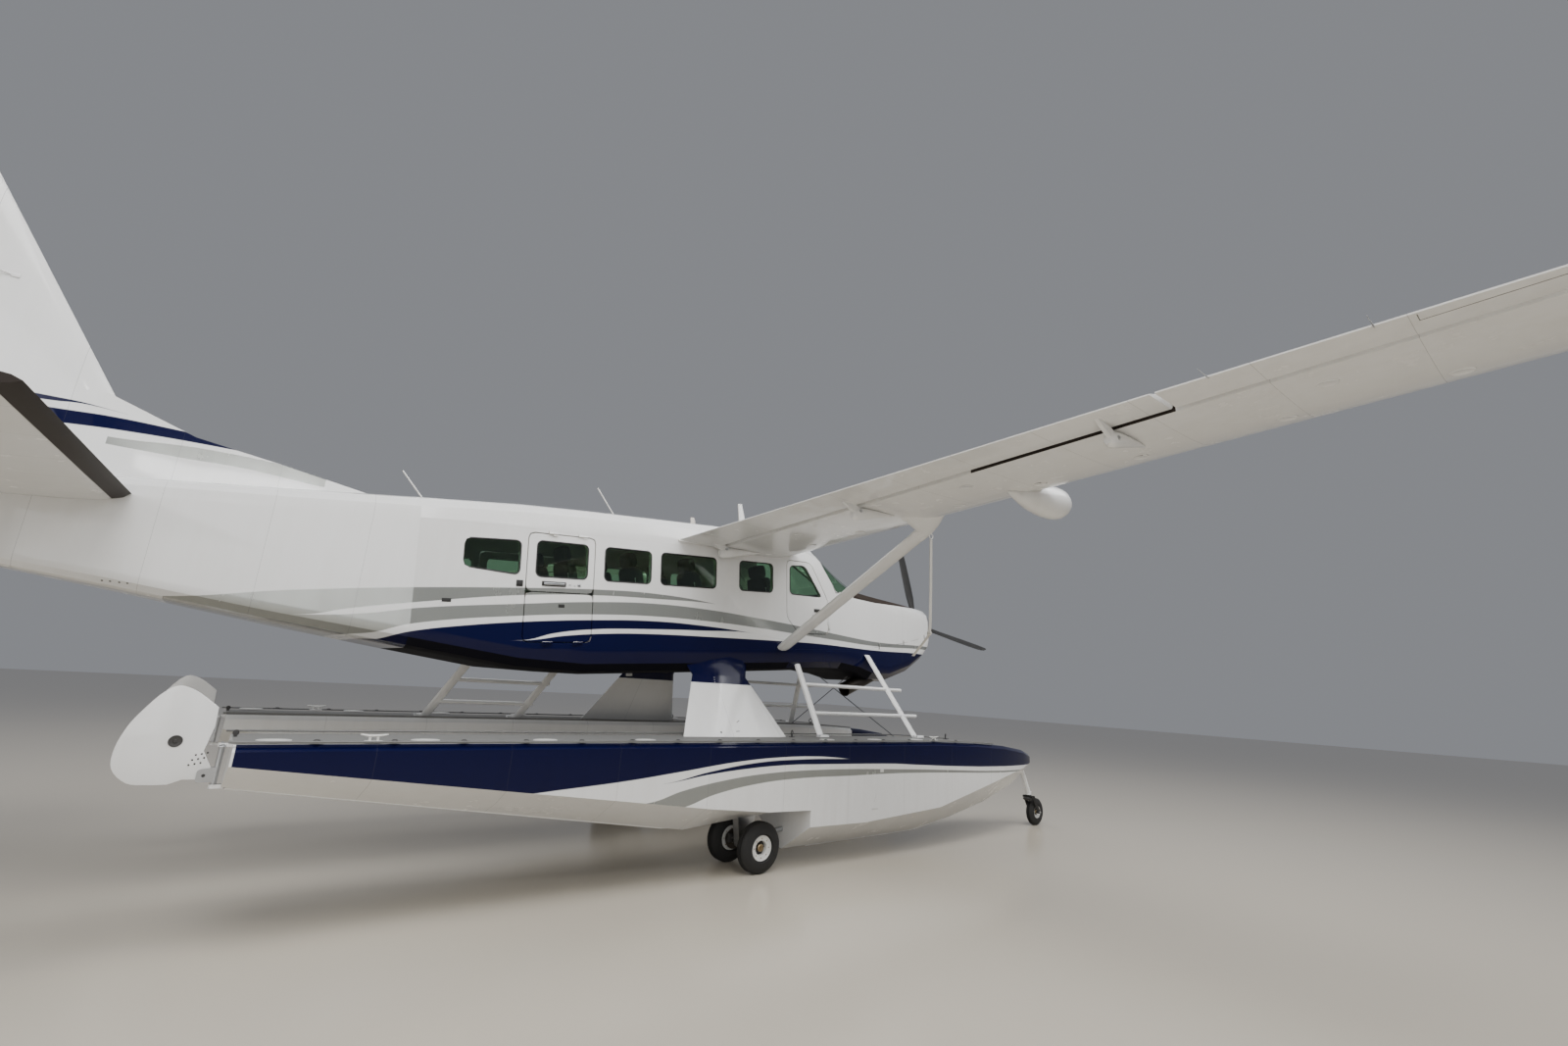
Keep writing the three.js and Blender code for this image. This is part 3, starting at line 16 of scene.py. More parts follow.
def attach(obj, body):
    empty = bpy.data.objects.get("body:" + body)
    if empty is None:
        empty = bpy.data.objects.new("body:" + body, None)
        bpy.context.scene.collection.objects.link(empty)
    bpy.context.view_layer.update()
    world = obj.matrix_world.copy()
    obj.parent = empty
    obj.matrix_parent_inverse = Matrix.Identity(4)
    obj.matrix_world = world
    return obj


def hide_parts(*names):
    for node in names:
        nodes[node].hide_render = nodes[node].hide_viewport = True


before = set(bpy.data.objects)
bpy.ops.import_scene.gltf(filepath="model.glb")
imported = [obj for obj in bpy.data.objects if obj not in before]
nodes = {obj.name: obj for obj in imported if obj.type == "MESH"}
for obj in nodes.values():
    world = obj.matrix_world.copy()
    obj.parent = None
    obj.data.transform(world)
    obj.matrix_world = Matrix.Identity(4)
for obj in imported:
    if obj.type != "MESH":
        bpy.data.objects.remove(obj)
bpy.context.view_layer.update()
bpy.ops.object.select_all(action="DESELECT")

# %% [markdown]
# ## Two frames
#
# The fuselage leans back over its floats, so its own directions differ from the ground's. Pieces of the fuselage
# and wings are modelled level, with u forward, v left and w up, and one matrix then tilts them into place. That is
# simpler than turning each piece by hand, and it keeps the sizes of the real drawings.

# %% The airframe's own frame
NOSE_UP = 0.0788
AIRFRAME = Matrix.Translation((5.72574, 0, 2.1587)) @ Matrix.Rotation(-NOSE_UP, 4, "Y")
GROUND = Matrix.Identity(4)
SIDES = {"left": 1, "right": -1}


def in_part(u, v, w):
    """A point of the airframe, in the part's frame."""
    return AIRFRAME @ Vector((u, v, w))


print("nose tip at", in_part(-0.275, 0, 0.774))

# %% [markdown]
# ## The camera
#
# The photograph was taken with a wide lens, low down beside the tail. The camera's place and its three angles were
# solved from points on the aircraft whose sizes are known, such as the wing's span and the wheels. The lens follows
# from the same solution.

# %% Camera
CAMERA = {"place": (-3.6847, -7.1894, 1.7565), "yaw": 0.6815, "pitch": 0.2391, "roll": 0.0603, "lens": 15.4956}


def camera_matrix(place, yaw, pitch, roll):
    """Looks along the yaw from +Y towards +X, up by the pitch, and leans by the roll."""
    ahead = Vector((math.sin(yaw) * math.cos(pitch), math.cos(yaw) * math.cos(pitch), math.sin(pitch)))
    level = Vector((math.cos(yaw), -math.sin(yaw), 0))
    above = level.cross(ahead)
    right = math.cos(roll) * level + math.sin(roll) * above
    up = -math.sin(roll) * level + math.cos(roll) * above
    turn = Matrix((right, up, -ahead)).transposed()
    return Matrix.Translation(place) @ turn.to_4x4()


def add_camera():
    data = bpy.data.cameras.new("camera")
    data.sensor_width = 36
    data.lens = CAMERA["lens"]
    data.clip_end = 200
    camera = bpy.data.objects.new("camera", data)
    bpy.context.scene.collection.objects.link(camera)
    camera.matrix_world = camera_matrix(CAMERA["place"], CAMERA["yaw"], CAMERA["pitch"], CAMERA["roll"])
    bpy.context.scene.camera = camera


add_camera()

# %% [markdown]
# ## Floor and light
#
# A plain pale floor and large soft lamps show the shapes without strong shadows. The lamps hang high like the
# rows of lamps over a workshop floor, so the glossy paint has long soft reflections to show its curves with.

# %% Floor and lamps
FLOOR_SIZE = 120
LAMPS = [
    # place, what it points at, width, length, power
    ((-5, -7, 14), (-1, -1, 2), 9, 9, 1900),
    ((9, -8, 13), (2, 0, 2), 9, 9, 1000),
    ((4, 10, 13), (0, 0, 2), 12, 12, 700),
    ((-13, 2, 11), (-4, 0, 2), 9, 9, 450),
    ((3, -5.5, 9.5), (1, -1, 1.5), 0.6, 7, 260),
    ((-2, -9.5, 7.5), (-1, -1, 1.5), 0.35, 5, 120),
    ((-9, -15, 5), (-2, 0, 2.5), 9, 9, 700),
]


def finish_of(name, **sockets):
    """A material from one Principled shader. The named sockets hold numbers that are the same all over."""
    material = bpy.data.materials.new(name)
    material.use_nodes = True
    shader = material.node_tree.nodes["Principled BSDF"]
    for label, value in sockets.items():
        shader.inputs[label.replace("_", " ")].default_value = value
    return material, material.node_tree, shader


def add_floor():
    bpy.ops.mesh.primitive_plane_add(size=FLOOR_SIZE)
    floor = bpy.context.object
    floor.name = "floor"
    floor.data.materials.append(finish_of("pale floor", Base_Color=(0.50, 0.455, 0.38, 1), Roughness=0.2)[0])


def add_lamps():
    for place, target, width, length, power in LAMPS:
        bpy.ops.object.light_add(type="AREA", location=place)
        lamp = bpy.context.object
        lamp.data.shape = "RECTANGLE"
        lamp.data.size = length
        lamp.data.size_y = width
        lamp.data.energy = power
        lamp.rotation_euler = (Vector(target) - Vector(place)).to_track_quat("-Z", "Y").to_euler()
    world = bpy.data.worlds.new("studio")
    bpy.context.scene.world = world
    world.use_nodes = True
    sky = world.node_tree.nodes["Background"]
    sky.inputs["Color"].default_value = (0.90, 0.93, 1.0, 1)
    sky.inputs["Strength"].default_value = 0.27


add_floor()
add_lamps()

# %% [markdown]
# ## Wiring shaders
#
# Every finish is a small network of nodes. A few helpers keep the wiring short: one adds a node and connects its
# inputs, and the others are common sums. An input may be a number or the output of another node.

# %% Shader helpers


def add(tree, kind, settings=None, **inputs):
    """Adds a node, sets its settings, and fills its inputs by name or by number (as in i0, i1)."""
    made = tree.nodes.new(kind)
    for key, value in (settings or {}).items():
        setattr(made, key, value)
    for key, value in inputs.items():
        target = made.inputs[int(key[1:])] if key[1:].isdigit() else made.inputs[key.replace("_", " ")]
        if isinstance(value, bpy.types.NodeSocket):
            tree.links.new(value, target)
        else:
            target.default_value = value
    return made


def sum_of(tree, operation, a, b=0.0, c=0.0, clamp=False):
    settings = {"operation": operation, "use_clamp": clamp}
    return add(tree, "ShaderNodeMath", settings, i0=a, i1=b, i2=c).outputs[0]


def blend_colours(tree, share, first, second, way="MIX"):
    return add(tree, "ShaderNodeMix", {"data_type": "RGBA", "blend_type": way}, i0=share, i6=first,
        i7=second).outputs[2]


def blend_values(tree, share, first, second):
    return add(tree, "ShaderNodeMix", {"data_type": "FLOAT"}, i0=share, i2=first, i3=second).outputs[0]


def place_axes(tree):
    """The piece's own x, y and z as three values."""
    coordinate = add(tree, "ShaderNodeTexCoord").outputs["Object"]
    return list(add(tree, "ShaderNodeSeparateXYZ", i0=coordinate).outputs)


def face_axes(tree):
    """The direction that each face looks in, as three values."""
    facing = add(tree, "ShaderNodeNewGeometry").outputs["True Normal"]
    return list(add(tree, "ShaderNodeSeparateXYZ", i0=facing).outputs)


def new_group(name, outputs, **inputs):
    """A node group with named outputs, and named inputs with their usual values."""
    tree = bpy.data.node_groups.new(name, "ShaderNodeTree")
    for label in outputs:
        tree.interface.new_socket(label, in_out="OUTPUT", socket_type="NodeSocketFloat")
    for label, usual in inputs.items():
        tree.interface.new_socket(label, in_out="INPUT", socket_type="NodeSocketFloat").default_value = usual
    return tree, tree.nodes.new("NodeGroupInput").outputs, tree.nodes.new("NodeGroupOutput").inputs


def use_group(tree, group, **inputs):
    return add(tree, "ShaderNodeGroup", {"node_tree": group}, **inputs).outputs


def connect_bump(tree, shader, height, strength, distance):
    bump = add(tree, "ShaderNodeBump", Strength=strength, Distance=distance, Height=height)
    tree.links.new(bump.outputs[0], shader.inputs["Normal"])


# %% [markdown]
# ## A curved edge as a function
#
# The paint scheme is made of long swooping bands. Each edge of a band is a curve z(x), seen from the side. A Float
# Curve node holds such a curve with a handful of points, and smooths between them, just as a painter bends a spline
# along a few marks. A band is then simply where z lies between two edges.

# %% Band edges
EDGE_SOFTNESS = 0.0025
CURVE_RANGE = (-7.2, 6.4)
HEIGHT_RANGE = (0.0, 5.4)


def to_share(value, low_high):
    low, high = low_high
    return (value - low) / (high - low)


def edge_height(tree, x, points):
    """The height of a band's edge over each x, through a few (x, z) points."""
    low, high = CURVE_RANGE
    share = add(tree, "ShaderNodeMapRange", i0=x, i1=low, i2=high, i3=0.0, i4=1.0).outputs[0]
    curve = tree.nodes.new("ShaderNodeFloatCurve")
    tree.links.new(share, curve.inputs["Value"])
    knots = curve.mapping.curves[0].points
    first, last = points[0], points[-1]
    knots[0].location = (0.0, to_share(first[1], HEIGHT_RANGE))
    knots[1].location = (1.0, to_share(last[1], HEIGHT_RANGE))
    for px, pz in points:
        knots.new(to_share(px, CURVE_RANGE), to_share(pz, HEIGHT_RANGE))
    curve.mapping.update()
    low, high = HEIGHT_RANGE
    return add(tree, "ShaderNodeMapRange", i0=curve.outputs[0], i1=0.0, i2=1.0, i3=low, i4=high).outputs[0]


def below(tree, z, edge):
    gap = sum_of(tree, "SUBTRACT", edge, z)
    return sum_of(tree, "MULTIPLY_ADD", gap, 0.5 / EDGE_SOFTNESS, 0.5, clamp=True)


def above(tree, z, edge):
    return sum_of(tree, "SUBTRACT", 1.0, below(tree, z, edge))


def either(tree, a, b):
    return sum_of(tree, "MAXIMUM", a, b)


def both(tree, a, b):
    return sum_of(tree, "MULTIPLY", a, b)


def band(tree, x, z, low, high):
    """1 between two edges, and 0 outside them."""
    return both(tree, above(tree, z, edge_height(tree, x, low)), below(tree, z, edge_height(tree, x, high)))


def ahead_of(tree, value, limit):
    """1 where a value is over a limit, as x is in front of a place."""
    return sum_of(tree, "GREATER_THAN", value, limit)


def behind(tree, value, limit):
    """1 where a value is under a limit."""
    return sum_of(tree, "LESS_THAN", value, limit)


# %% [markdown]
# ## Bands of the fuselage
#
# A navy belly rises in a point towards the tail and is split by a white wedge. Above it two silver bands start as
# one broad swoosh under the tail, part around a white wedge and run forward to the nose. On the dorsal fillet, a
# navy and a silver band sweep back under the fin. The points were read from the photograph and rounded to a
# centimetre.

# %% Fuselage bands
NAVY_TOP = [(-2.76, 1.93), (-2.42, 2.04), (-2.03, 2.125), (-1.52, 2.21), (-0.86, 2.295), (-0.2, 2.355), (0.39, 2.37),
    (1.09, 2.355), (1.5, 2.325)]
NAVY_SPLIT_TOP = [(-1.52, 2.04), (-1.23, 2.131), (-0.85, 2.205), (-0.19, 2.271), (0.4, 2.315), (1.09, 2.355),
    (1.5, 2.325)]
NAVY_LOW = [(-1.52, 2.04), (-1.1, 2.122), (-0.64, 2.184), (-0.18, 2.222), (0.58, 2.26), (1.51, 2.3), (2.18, 2.325),
    (3.5, 2.34), (4.45, 2.375)]
SILVER_HIGH_TOP = [(-4.05, 2.15), (-3.31, 2.282), (-2.48, 2.406), (-1.56, 2.521), (-0.9, 2.595), (-0.23, 2.642),
    (0.56, 2.628), (0.8, 2.6)]
SILVER_HIGH_LOW = [(-3.2, 2.10), (-2.89, 2.182), (-2.46, 2.278), (-1.55, 2.455), (-0.89, 2.538), (-0.22, 2.588),
    (0.56, 2.628), (0.8, 2.62)]
SILVER_LOW_TOP = [(-3.2, 2.10), (-2.76, 2.157), (-2.45, 2.229), (-1.54, 2.375), (-0.88, 2.471), (-0.21, 2.537),
    (0.55, 2.553), (1.17, 2.536), (1.84, 2.509), (2.52, 2.482), (3.51, 2.458), (4.69, 2.5)]
SILVER_LOW_LOW = [(-2.77, 1.99), (-2.43, 2.102), (-1.53, 2.265), (-0.87, 2.35), (-0.2, 2.405), (0.56, 2.427),
    (1.18, 2.424), (1.73, 2.411), (2.53, 2.402), (3.51, 2.4), (4.64, 2.45)]
# of the dorsal fillet's bands, the lower edge and then the upper one
DORSAL_NAVY = [
    [(-6.3, 3.08), (-5.6, 3.25), (-4.8, 3.365), (-4.5, 3.395), (-4.18, 3.417), (-3.88, 3.428), (-3.55, 3.44)],
    [(-6.3, 3.3), (-5.6, 3.4), (-4.9, 3.461), (-4.66, 3.483), (-4.3, 3.493), (-3.89, 3.486), (-3.55, 3.44)],
]
DORSAL_STREAK = [
    [(-6.3, 3.38), (-5.6, 3.46), (-4.95, 3.511), (-4.81, 3.535), (-4.55, 3.53)],
    [(-6.3, 3.46), (-5.6, 3.51), (-4.97, 3.542), (-4.81, 3.547), (-4.55, 3.53)],
]
DORSAL_SILVER = [
    [(-4.62, 3.26), (-4.15, 3.27), (-3.8, 3.286), (-3.2, 3.26)],
    [(-4.62, 3.32), (-4.05, 3.384), (-3.23, 3.357), (-3.0, 3.3)],
]
NAVY_PAINT = (0.002, 0.003, 0.03, 1)
WHITE_PAINT = (0.74, 0.74, 0.73, 1)
SILVER_PAINT = (0.31, 0.32, 0.30, 1)


def fuselage_bands():
    """Masks of the navy and silver bands, by height over x."""
    tree, _, out = new_group("fuselage bands", ["Navy", "Silver"])
    x, _, z = place_axes(tree)
    low_navy = below(tree, z, edge_height(tree, x, NAVY_LOW))
    navy = either(tree, low_navy, band(tree, x, z, NAVY_SPLIT_TOP, NAVY_TOP))
    navy = both(tree, navy, ahead_of(tree, x, -2.8))
    silver_high = both(tree, band(tree, x, z, SILVER_HIGH_LOW, SILVER_HIGH_TOP), behind(tree, x, 0.56))
    silver = either(tree, silver_high, band(tree, x, z, SILVER_LOW_LOW, SILVER_LOW_TOP))
    silver = both(tree, silver, ahead_of(tree, x, -4.05))
    for low, high in (DORSAL_NAVY, DORSAL_STREAK):
        navy = either(tree, navy, both(tree, band(tree, x, z, low, high), behind(tree, x, low[-1][0])))
    low, high = DORSAL_SILVER
    dorsal = both(tree, band(tree, x, z, low, high), behind(tree, x, low[-1][0]))
    silver = either(tree, silver, both(tree, dorsal, ahead_of(tree, x, low[0][0])))
    tree.links.new(navy, out["Navy"])
    tree.links.new(silver, out["Silver"])
    return tree


FUSELAGE_BANDS = fuselage_bands()

# %% [markdown]
# ## Bands of the floats
#
# Each float is navy along its deck. A white swoosh and a thin navy crescent part it from the white side, which
# carries one silver band from the step up to the bow. The bands are on the outboard side alone. The deck is grey
# non-slip paint up to the bow, and the planing bottom is plain white.

# %% Float bands
FLOAT_MIDDLE = 1.346
BOW_DECK = 4.62
FLOAT_NAVY_EDGE = [(-1.8, 0.85), (-1.35, 0.882), (-0.82, 0.925), (-0.29, 0.985), (0.3, 1.054), (0.84, 1.087),
    (1.36, 1.087), (1.6, 1.073), (1.77, 1.058), (2.0, 1.036), (2.3, 1.01), (2.66, 0.985), (5.66, 0.885)]
CRESCENT_TOP = [(-0.47, 0.889), (0.0, 0.974), (0.57, 1.045), (1.13, 1.064), (1.5, 1.063), (1.77, 1.058), (2.0, 1.06),
    (2.4, 1.065), (5.66, 1.1)]
CRESCENT_LOW = [(-0.47, 0.889), (0.0, 0.951), (0.47, 0.993), (0.99, 1.014), (1.36, 1.011), (2.66, 0.989), (5.66, 0.89)]
FLOAT_SILVER_TOP = [(-0.58, 0.743), (-0.27, 0.822), (0.16, 0.893), (0.64, 0.939), (1.37, 0.957), (2.66, 0.929),
    (5.31, 0.834)]
FLOAT_SILVER_LOW = [(-0.29, 0.68), (0.08, 0.778), (0.58, 0.853), (1.15, 0.884), (1.77, 0.885), (2.66, 0.887),
    (5.31, 0.815)]


def float_bands():
    tree, _, out = new_group("float bands", ["Navy", "Silver"])
    x, y, z = place_axes(tree)
    _, facing, _ = face_axes(tree)
    outboard = both(tree, ahead_of(tree, sum_of(tree, "ABSOLUTE", y), FLOAT_MIDDLE),
        ahead_of(tree, sum_of(tree, "ABSOLUTE", facing), 0.5))
    deck_edge = above(tree, z, edge_height(tree, x, FLOAT_NAVY_EDGE))
    crescent = both(tree, band(tree, x, z, CRESCENT_LOW, CRESCENT_TOP), ahead_of(tree, x, -0.47))
    navy = either(tree, either(tree, deck_edge, crescent), behind(tree, x, -1.72))
    navy = both(tree, both(tree, navy, outboard), ahead_of(tree, x, -3.46))
    bow = both(tree, ahead_of(tree, x, BOW_DECK), deck_edge)
    tree.links.new(either(tree, navy, bow), out["Navy"])
    silver = both(tree, band(tree, x, z, FLOAT_SILVER_LOW, FLOAT_SILVER_TOP), ahead_of(tree, x, -0.62))
    tree.links.new(both(tree, silver, outboard), out["Silver"])
    return tree


FLOAT_BANDS = float_bands()

# %% [markdown]
# ## Shared effects
#
# Real paint is never one even colour. Three effects are used by many finishes, so each is a node group with named
# inputs: thin sheet metal that dents slightly between its frames, faint dirt that runs down and back, and riveted
# seams at regular steps.

# %% Shared effects


def sheet_waves():
    """Slow waves of thin sheet metal, as a height."""
    tree, given, out = new_group("sheet waves", ["Height"], Scale=1.0, Stretch=0.5)
    coordinate = add(tree, "ShaderNodeTexCoord").outputs["Object"]
    shape = add(tree, "ShaderNodeCombineXYZ", i0=1.0, i1=given["Stretch"], i2=1.0)
    stretched = add(tree, "ShaderNodeVectorMath", {"operation": "MULTIPLY"}, i0=coordinate, i1=shape.outputs[0])
    noise = add(tree, "ShaderNodeTexNoise", Vector=stretched.outputs[0], Scale=given["Scale"], Detail=1.0,
        Roughness=0.4)
    tree.links.new(noise.outputs[0], out["Height"])
    return tree


def faint_dirt():
    """A share from 0 to 1 of dirt: cloudy patches and fine streaks that run down."""
    tree, given, out = new_group("faint dirt", ["Dirt"], Patches=0.8, Streaks=9.0)
    coordinate = add(tree, "ShaderNodeTexCoord").outputs["Object"]
    cloud = add(tree, "ShaderNodeTexNoise", Vector=coordinate, Scale=given["Patches"], Detail=5.0, Roughness=0.62)
    long_way = add(tree, "ShaderNodeVectorMath", {"operation": "MULTIPLY"}, i0=coordinate, i1=(1.0, 1.0, 0.16))
    streak = add(tree, "ShaderNodeTexNoise", Vector=long_way.outputs[0], Scale=given["Streaks"], Detail=4.0,
        Roughness=0.6)
    mixed = sum_of(tree, "MULTIPLY", cloud.outputs[0], streak.outputs[0])
    share = add(tree, "ShaderNodeMapRange", i0=mixed, i1=0.2, i2=0.45, i3=0.0, i4=1.0)
    tree.links.new(share.outputs[0], out["Dirt"])
    return tree


def riveted_seams():
    """Lap seams every Step along one axis, with a rivet row beside each. Seam is a mask, Rivets a height."""
    tree, given, out = new_group("riveted seams", ["Seam", "Rivets"], Along=0.0, Across=0.0, Step=0.5, Start=0.0,
        Pitch=0.028)
    shifted = sum_of(tree, "SUBTRACT", given["Along"], given["Start"])
    off_seam = sum_of(tree, "PINGPONG", shifted, sum_of(tree, "MULTIPLY", given["Step"], 0.5))
    seam = sum_of(tree, "LESS_THAN", off_seam, 0.0011)
    beside = sum_of(tree, "ABSOLUTE", sum_of(tree, "SUBTRACT", off_seam, 0.012))
    on_row = sum_of(tree, "PINGPONG", given["Across"], sum_of(tree, "MULTIPLY", given["Pitch"], 0.5))
    distance = sum_of(tree, "SQRT", sum_of(tree, "ADD", sum_of(tree, "MULTIPLY", beside, beside),
        sum_of(tree, "MULTIPLY", on_row, on_row)))
    rivet = add(tree, "ShaderNodeMapRange", i0=distance, i1=0.0022, i2=0.0034, i3=1.0, i4=0.0).outputs[0]
    tree.links.new(seam, out["Seam"])
    tree.links.new(rivet, out["Rivets"])
    return tree


WAVES = sheet_waves()
DIRT = faint_dirt()
SEAMS = riveted_seams()

# %% [markdown]
# ## Masks by place
#
# Some surfaces of one solid have a finish of their own: the trim inside the cabin walls, the matt panel in front of
# the windshield, the black underside of the belly (painted shade, with exhaust soot), the grey walking deck, the rubber
# boot on the tailplane, and the black painted shade in the flap gap. Each is a mask worked out from where the point
# lies and which way its face looks, as a painter would tape it off.

# %% Masks by place
CABIN_MIDDLE = {"x": 5.647, "z": 3.1556, "rise": 0.0789}
BOOT = {"root": -4.3466, "sweep": -0.0664, "depth": 0.10}
CUFF_HEIGHT = 1.762
GLARE = {"aft": 2.93, "bend": 3.45, "rise": 0.053, "height": 3.008}


def facing_in(tree):
    """Faces that look towards the cabin's middle line."""
    x, y, z = place_axes(tree)
    _, side, up = face_axes(tree)
    middle = sum_of(tree, "MULTIPLY_ADD", sum_of(tree, "SUBTRACT", x, CABIN_MIDDLE["x"]), CABIN_MIDDLE["rise"],
        CABIN_MIDDLE["z"])
    out = sum_of(tree, "MULTIPLY", side, y)
    out = sum_of(tree, "ADD", out, sum_of(tree, "MULTIPLY", up, sum_of(tree, "SUBTRACT", z, middle)))
    return behind(tree, out, -0.02)


def glare_panel(tree):
    """The top in front of the windshield, above a line that rises to the nose."""
    x, _, z = place_axes(tree)
    line = sum_of(tree, "MAXIMUM", sum_of(tree, "SUBTRACT", x, GLARE["bend"]), 0.0)
    over = above(tree, z, sum_of(tree, "MULTIPLY_ADD", line, GLARE["rise"], GLARE["height"]))
    return both(tree, over, ahead_of(tree, x, GLARE["aft"]))


def walking_deck(tree):
    x, _, _ = place_axes(tree)
    _, _, up = face_axes(tree)
    return both(tree, ahead_of(tree, up, 0.8), behind(tree, x, BOW_DECK))


def tail_boot(tree):
    x, y, _ = place_axes(tree)
    front = sum_of(tree, "MULTIPLY_ADD", sum_of(tree, "ABSOLUTE", y), BOOT["sweep"], BOOT["root"] - BOOT["depth"])
    return above(tree, x, front)


def pylon_cuff(tree):
    _, _, z = place_axes(tree)
    return above(tree, z, CUFF_HEIGHT)


def belly_shade_and_soot(tree):
    """Faces that look down under the cabin, made black and dull: painted shade under the belly, with exhaust soot."""
    _, _, z = place_axes(tree)
    _, _, up = face_axes(tree)
    return both(tree, behind(tree, up, -0.7), behind(tree, z, 2.2))


def flap_gap_shade(tree):
    """Painted shade: the wing's rear wall in front of the outer flap is made black, as the shade in the gap."""
    x, y, _ = place_axes(tree)
    ahead, _, _ = face_axes(tree)
    out = sum_of(tree, "ABSOLUTE", y)
    reach = both(tree, ahead_of(tree, out, 4.23), behind(tree, out, 5.71))
    reach = both(tree, reach, ahead_of(tree, x, 0.45))
    return both(tree, reach, behind(tree, ahead, -0.75))


# %% [markdown]
# ## Paint
#
# Aircraft paint is a hard glossy enamel with a clear coat. Each paint finish below mixes its colours by the band
# masks, darkens them a little with the dirt group, and takes its relief from the waves and the riveted seams.
# The silver is a metallic paint, which is why it looks grey from one side and bright from the other.

# %% Paint finishes
DIRT_TINT = (0.55, 0.50, 0.43, 1)
SEAM_COLOUR = (0.05, 0.05, 0.055, 1)
COAT = {"Coat_Weight": 0.5, "Coat_Roughness": 0.05, "Specular_IOR_Level": 0.15}
NAVY_COAT = 0.16
NAVY_ROUGHNESS = 0.12
SEAM_DARK = 0.5
TRIM_CLOTH = (0.6, 0.57, 0.52, 1)
GLARE_BROWN = (0.030, 0.022, 0.017, 1)
# painted shade under the belly, with exhaust soot
BELLY_SHADE_AND_SOOT = (0.004, 0.004, 0.008, 1)
DECK_GREY = (0.17, 0.17, 0.165, 1)
# the tail boot's black rubber, and the painted shade in the flap gap
BOOT_RUBBER_AND_GAP_SHADE = (0.026, 0.020, 0.017, 1)


def paint(name, bands=None, overlays=(), step=0.62, start=0.0, along=0, across=2, dirt=0.10):
    """Enamel with its bands. Seams repeat every step along one axis. An overlay is a mask, a colour and a
    roughness."""
    material, tree, shader = finish_of(name, **COAT)
    axes = place_axes(tree)
    colour = WHITE_PAINT
    if bands is not None:
        masks = use_group(tree, bands)
        colour = blend_colours(tree, masks["Silver"], colour, SILVER_PAINT)
        colour = blend_colours(tree, masks["Navy"], colour, NAVY_PAINT)
        tree.links.new(sum_of(tree, "MULTIPLY", masks["Silver"], 0.5), shader.inputs["Metallic"])
    rough = blend_values(tree, use_group(tree, DIRT, Patches=2.2)["Dirt"], 0.2, 0.32)
    coat = None
    if bands is not None:
        rough = blend_values(tree, masks["Navy"], rough, NAVY_ROUGHNESS)
        coat = sum_of(tree, "MULTIPLY_ADD", masks["Navy"], NAVY_COAT - COAT["Coat_Weight"], COAT["Coat_Weight"])
    for make_mask, tone, roughness in overlays:
        mask = make_mask(tree)
        colour = blend_colours(tree, mask, colour, tone)
        rough = blend_values(tree, mask, rough, roughness)
        if roughness > 0.4 or tone is NAVY_PAINT:
            full = COAT["Coat_Weight"] if coat is None else coat
            coat = both(tree, sum_of(tree, "SUBTRACT", 1.0, mask), full)
    if coat is not None:
        tree.links.new(coat, shader.inputs["Coat Weight"])
    seams = use_group(tree, SEAMS, Along=axes[along], Across=axes[across], Step=step, Start=start)
    soiled = sum_of(tree, "MULTIPLY", use_group(tree, DIRT)["Dirt"], dirt)
    colour = blend_colours(tree, soiled, colour, DIRT_TINT, "MULTIPLY")
    colour = blend_colours(tree, sum_of(tree, "MULTIPLY", seams["Seam"], SEAM_DARK), colour, SEAM_COLOUR)
    tree.links.new(colour, shader.inputs["Base Color"])
    tree.links.new(rough, shader.inputs["Roughness"])
    waves = use_group(tree, WAVES, Scale=1.6, Stretch=0.6)["Height"]
    relief = sum_of(tree, "MULTIPLY_ADD", seams["Rivets"], 0.12, waves)
    relief = sum_of(tree, "SUBTRACT", relief, sum_of(tree, "MULTIPLY", seams["Seam"], 0.2))
    connect_bump(tree, shader, relief, 0.3, 0.006)
    return material


def plain_noise_finish(name, colour, dark, roughness, scale=60.0, strength=0.15, metallic=0.0):
    """A finish of one colour that varies a little, with a fine grain."""
    material, tree, shader = finish_of(name, Metallic=metallic)
    coordinate = add(tree, "ShaderNodeTexCoord").outputs["Object"]
    grain = add(tree, "ShaderNodeTexNoise", Vector=coordinate, Scale=scale, Detail=4.0, Roughness=0.6).outputs[0]
    slow = add(tree, "ShaderNodeTexNoise", Vector=coordinate, Scale=2.5, Detail=3.0).outputs[0]
    tree.links.new(blend_colours(tree, slow, colour, dark), shader.inputs["Base Color"])
    tree.links.new(blend_values(tree, slow, roughness * 0.85, roughness * 1.15), shader.inputs["Roughness"])
    connect_bump(tree, shader, grain, strength, 0.001)
    return material


AIRFRAME_PAINT = paint("airframe paint", FUSELAGE_BANDS, step=0.67, start=-1.52)
# The cabin's downward faces are painted black as shade under the belly, with exhaust soot.
CABIN_PAINT = paint("cabin paint", FUSELAGE_BANDS, [(glare_panel, GLARE_BROWN, 0.75), (belly_shade_and_soot, BELLY_SHADE_AND_SOOT, 0.75),
    (facing_in, TRIM_CLOTH, 0.85)], step=9.0, start=-4.0)
COWL_PAINT = paint("cowl paint", FUSELAGE_BANDS, [(glare_panel, GLARE_BROWN, 0.75)], step=0.78, start=3.32)
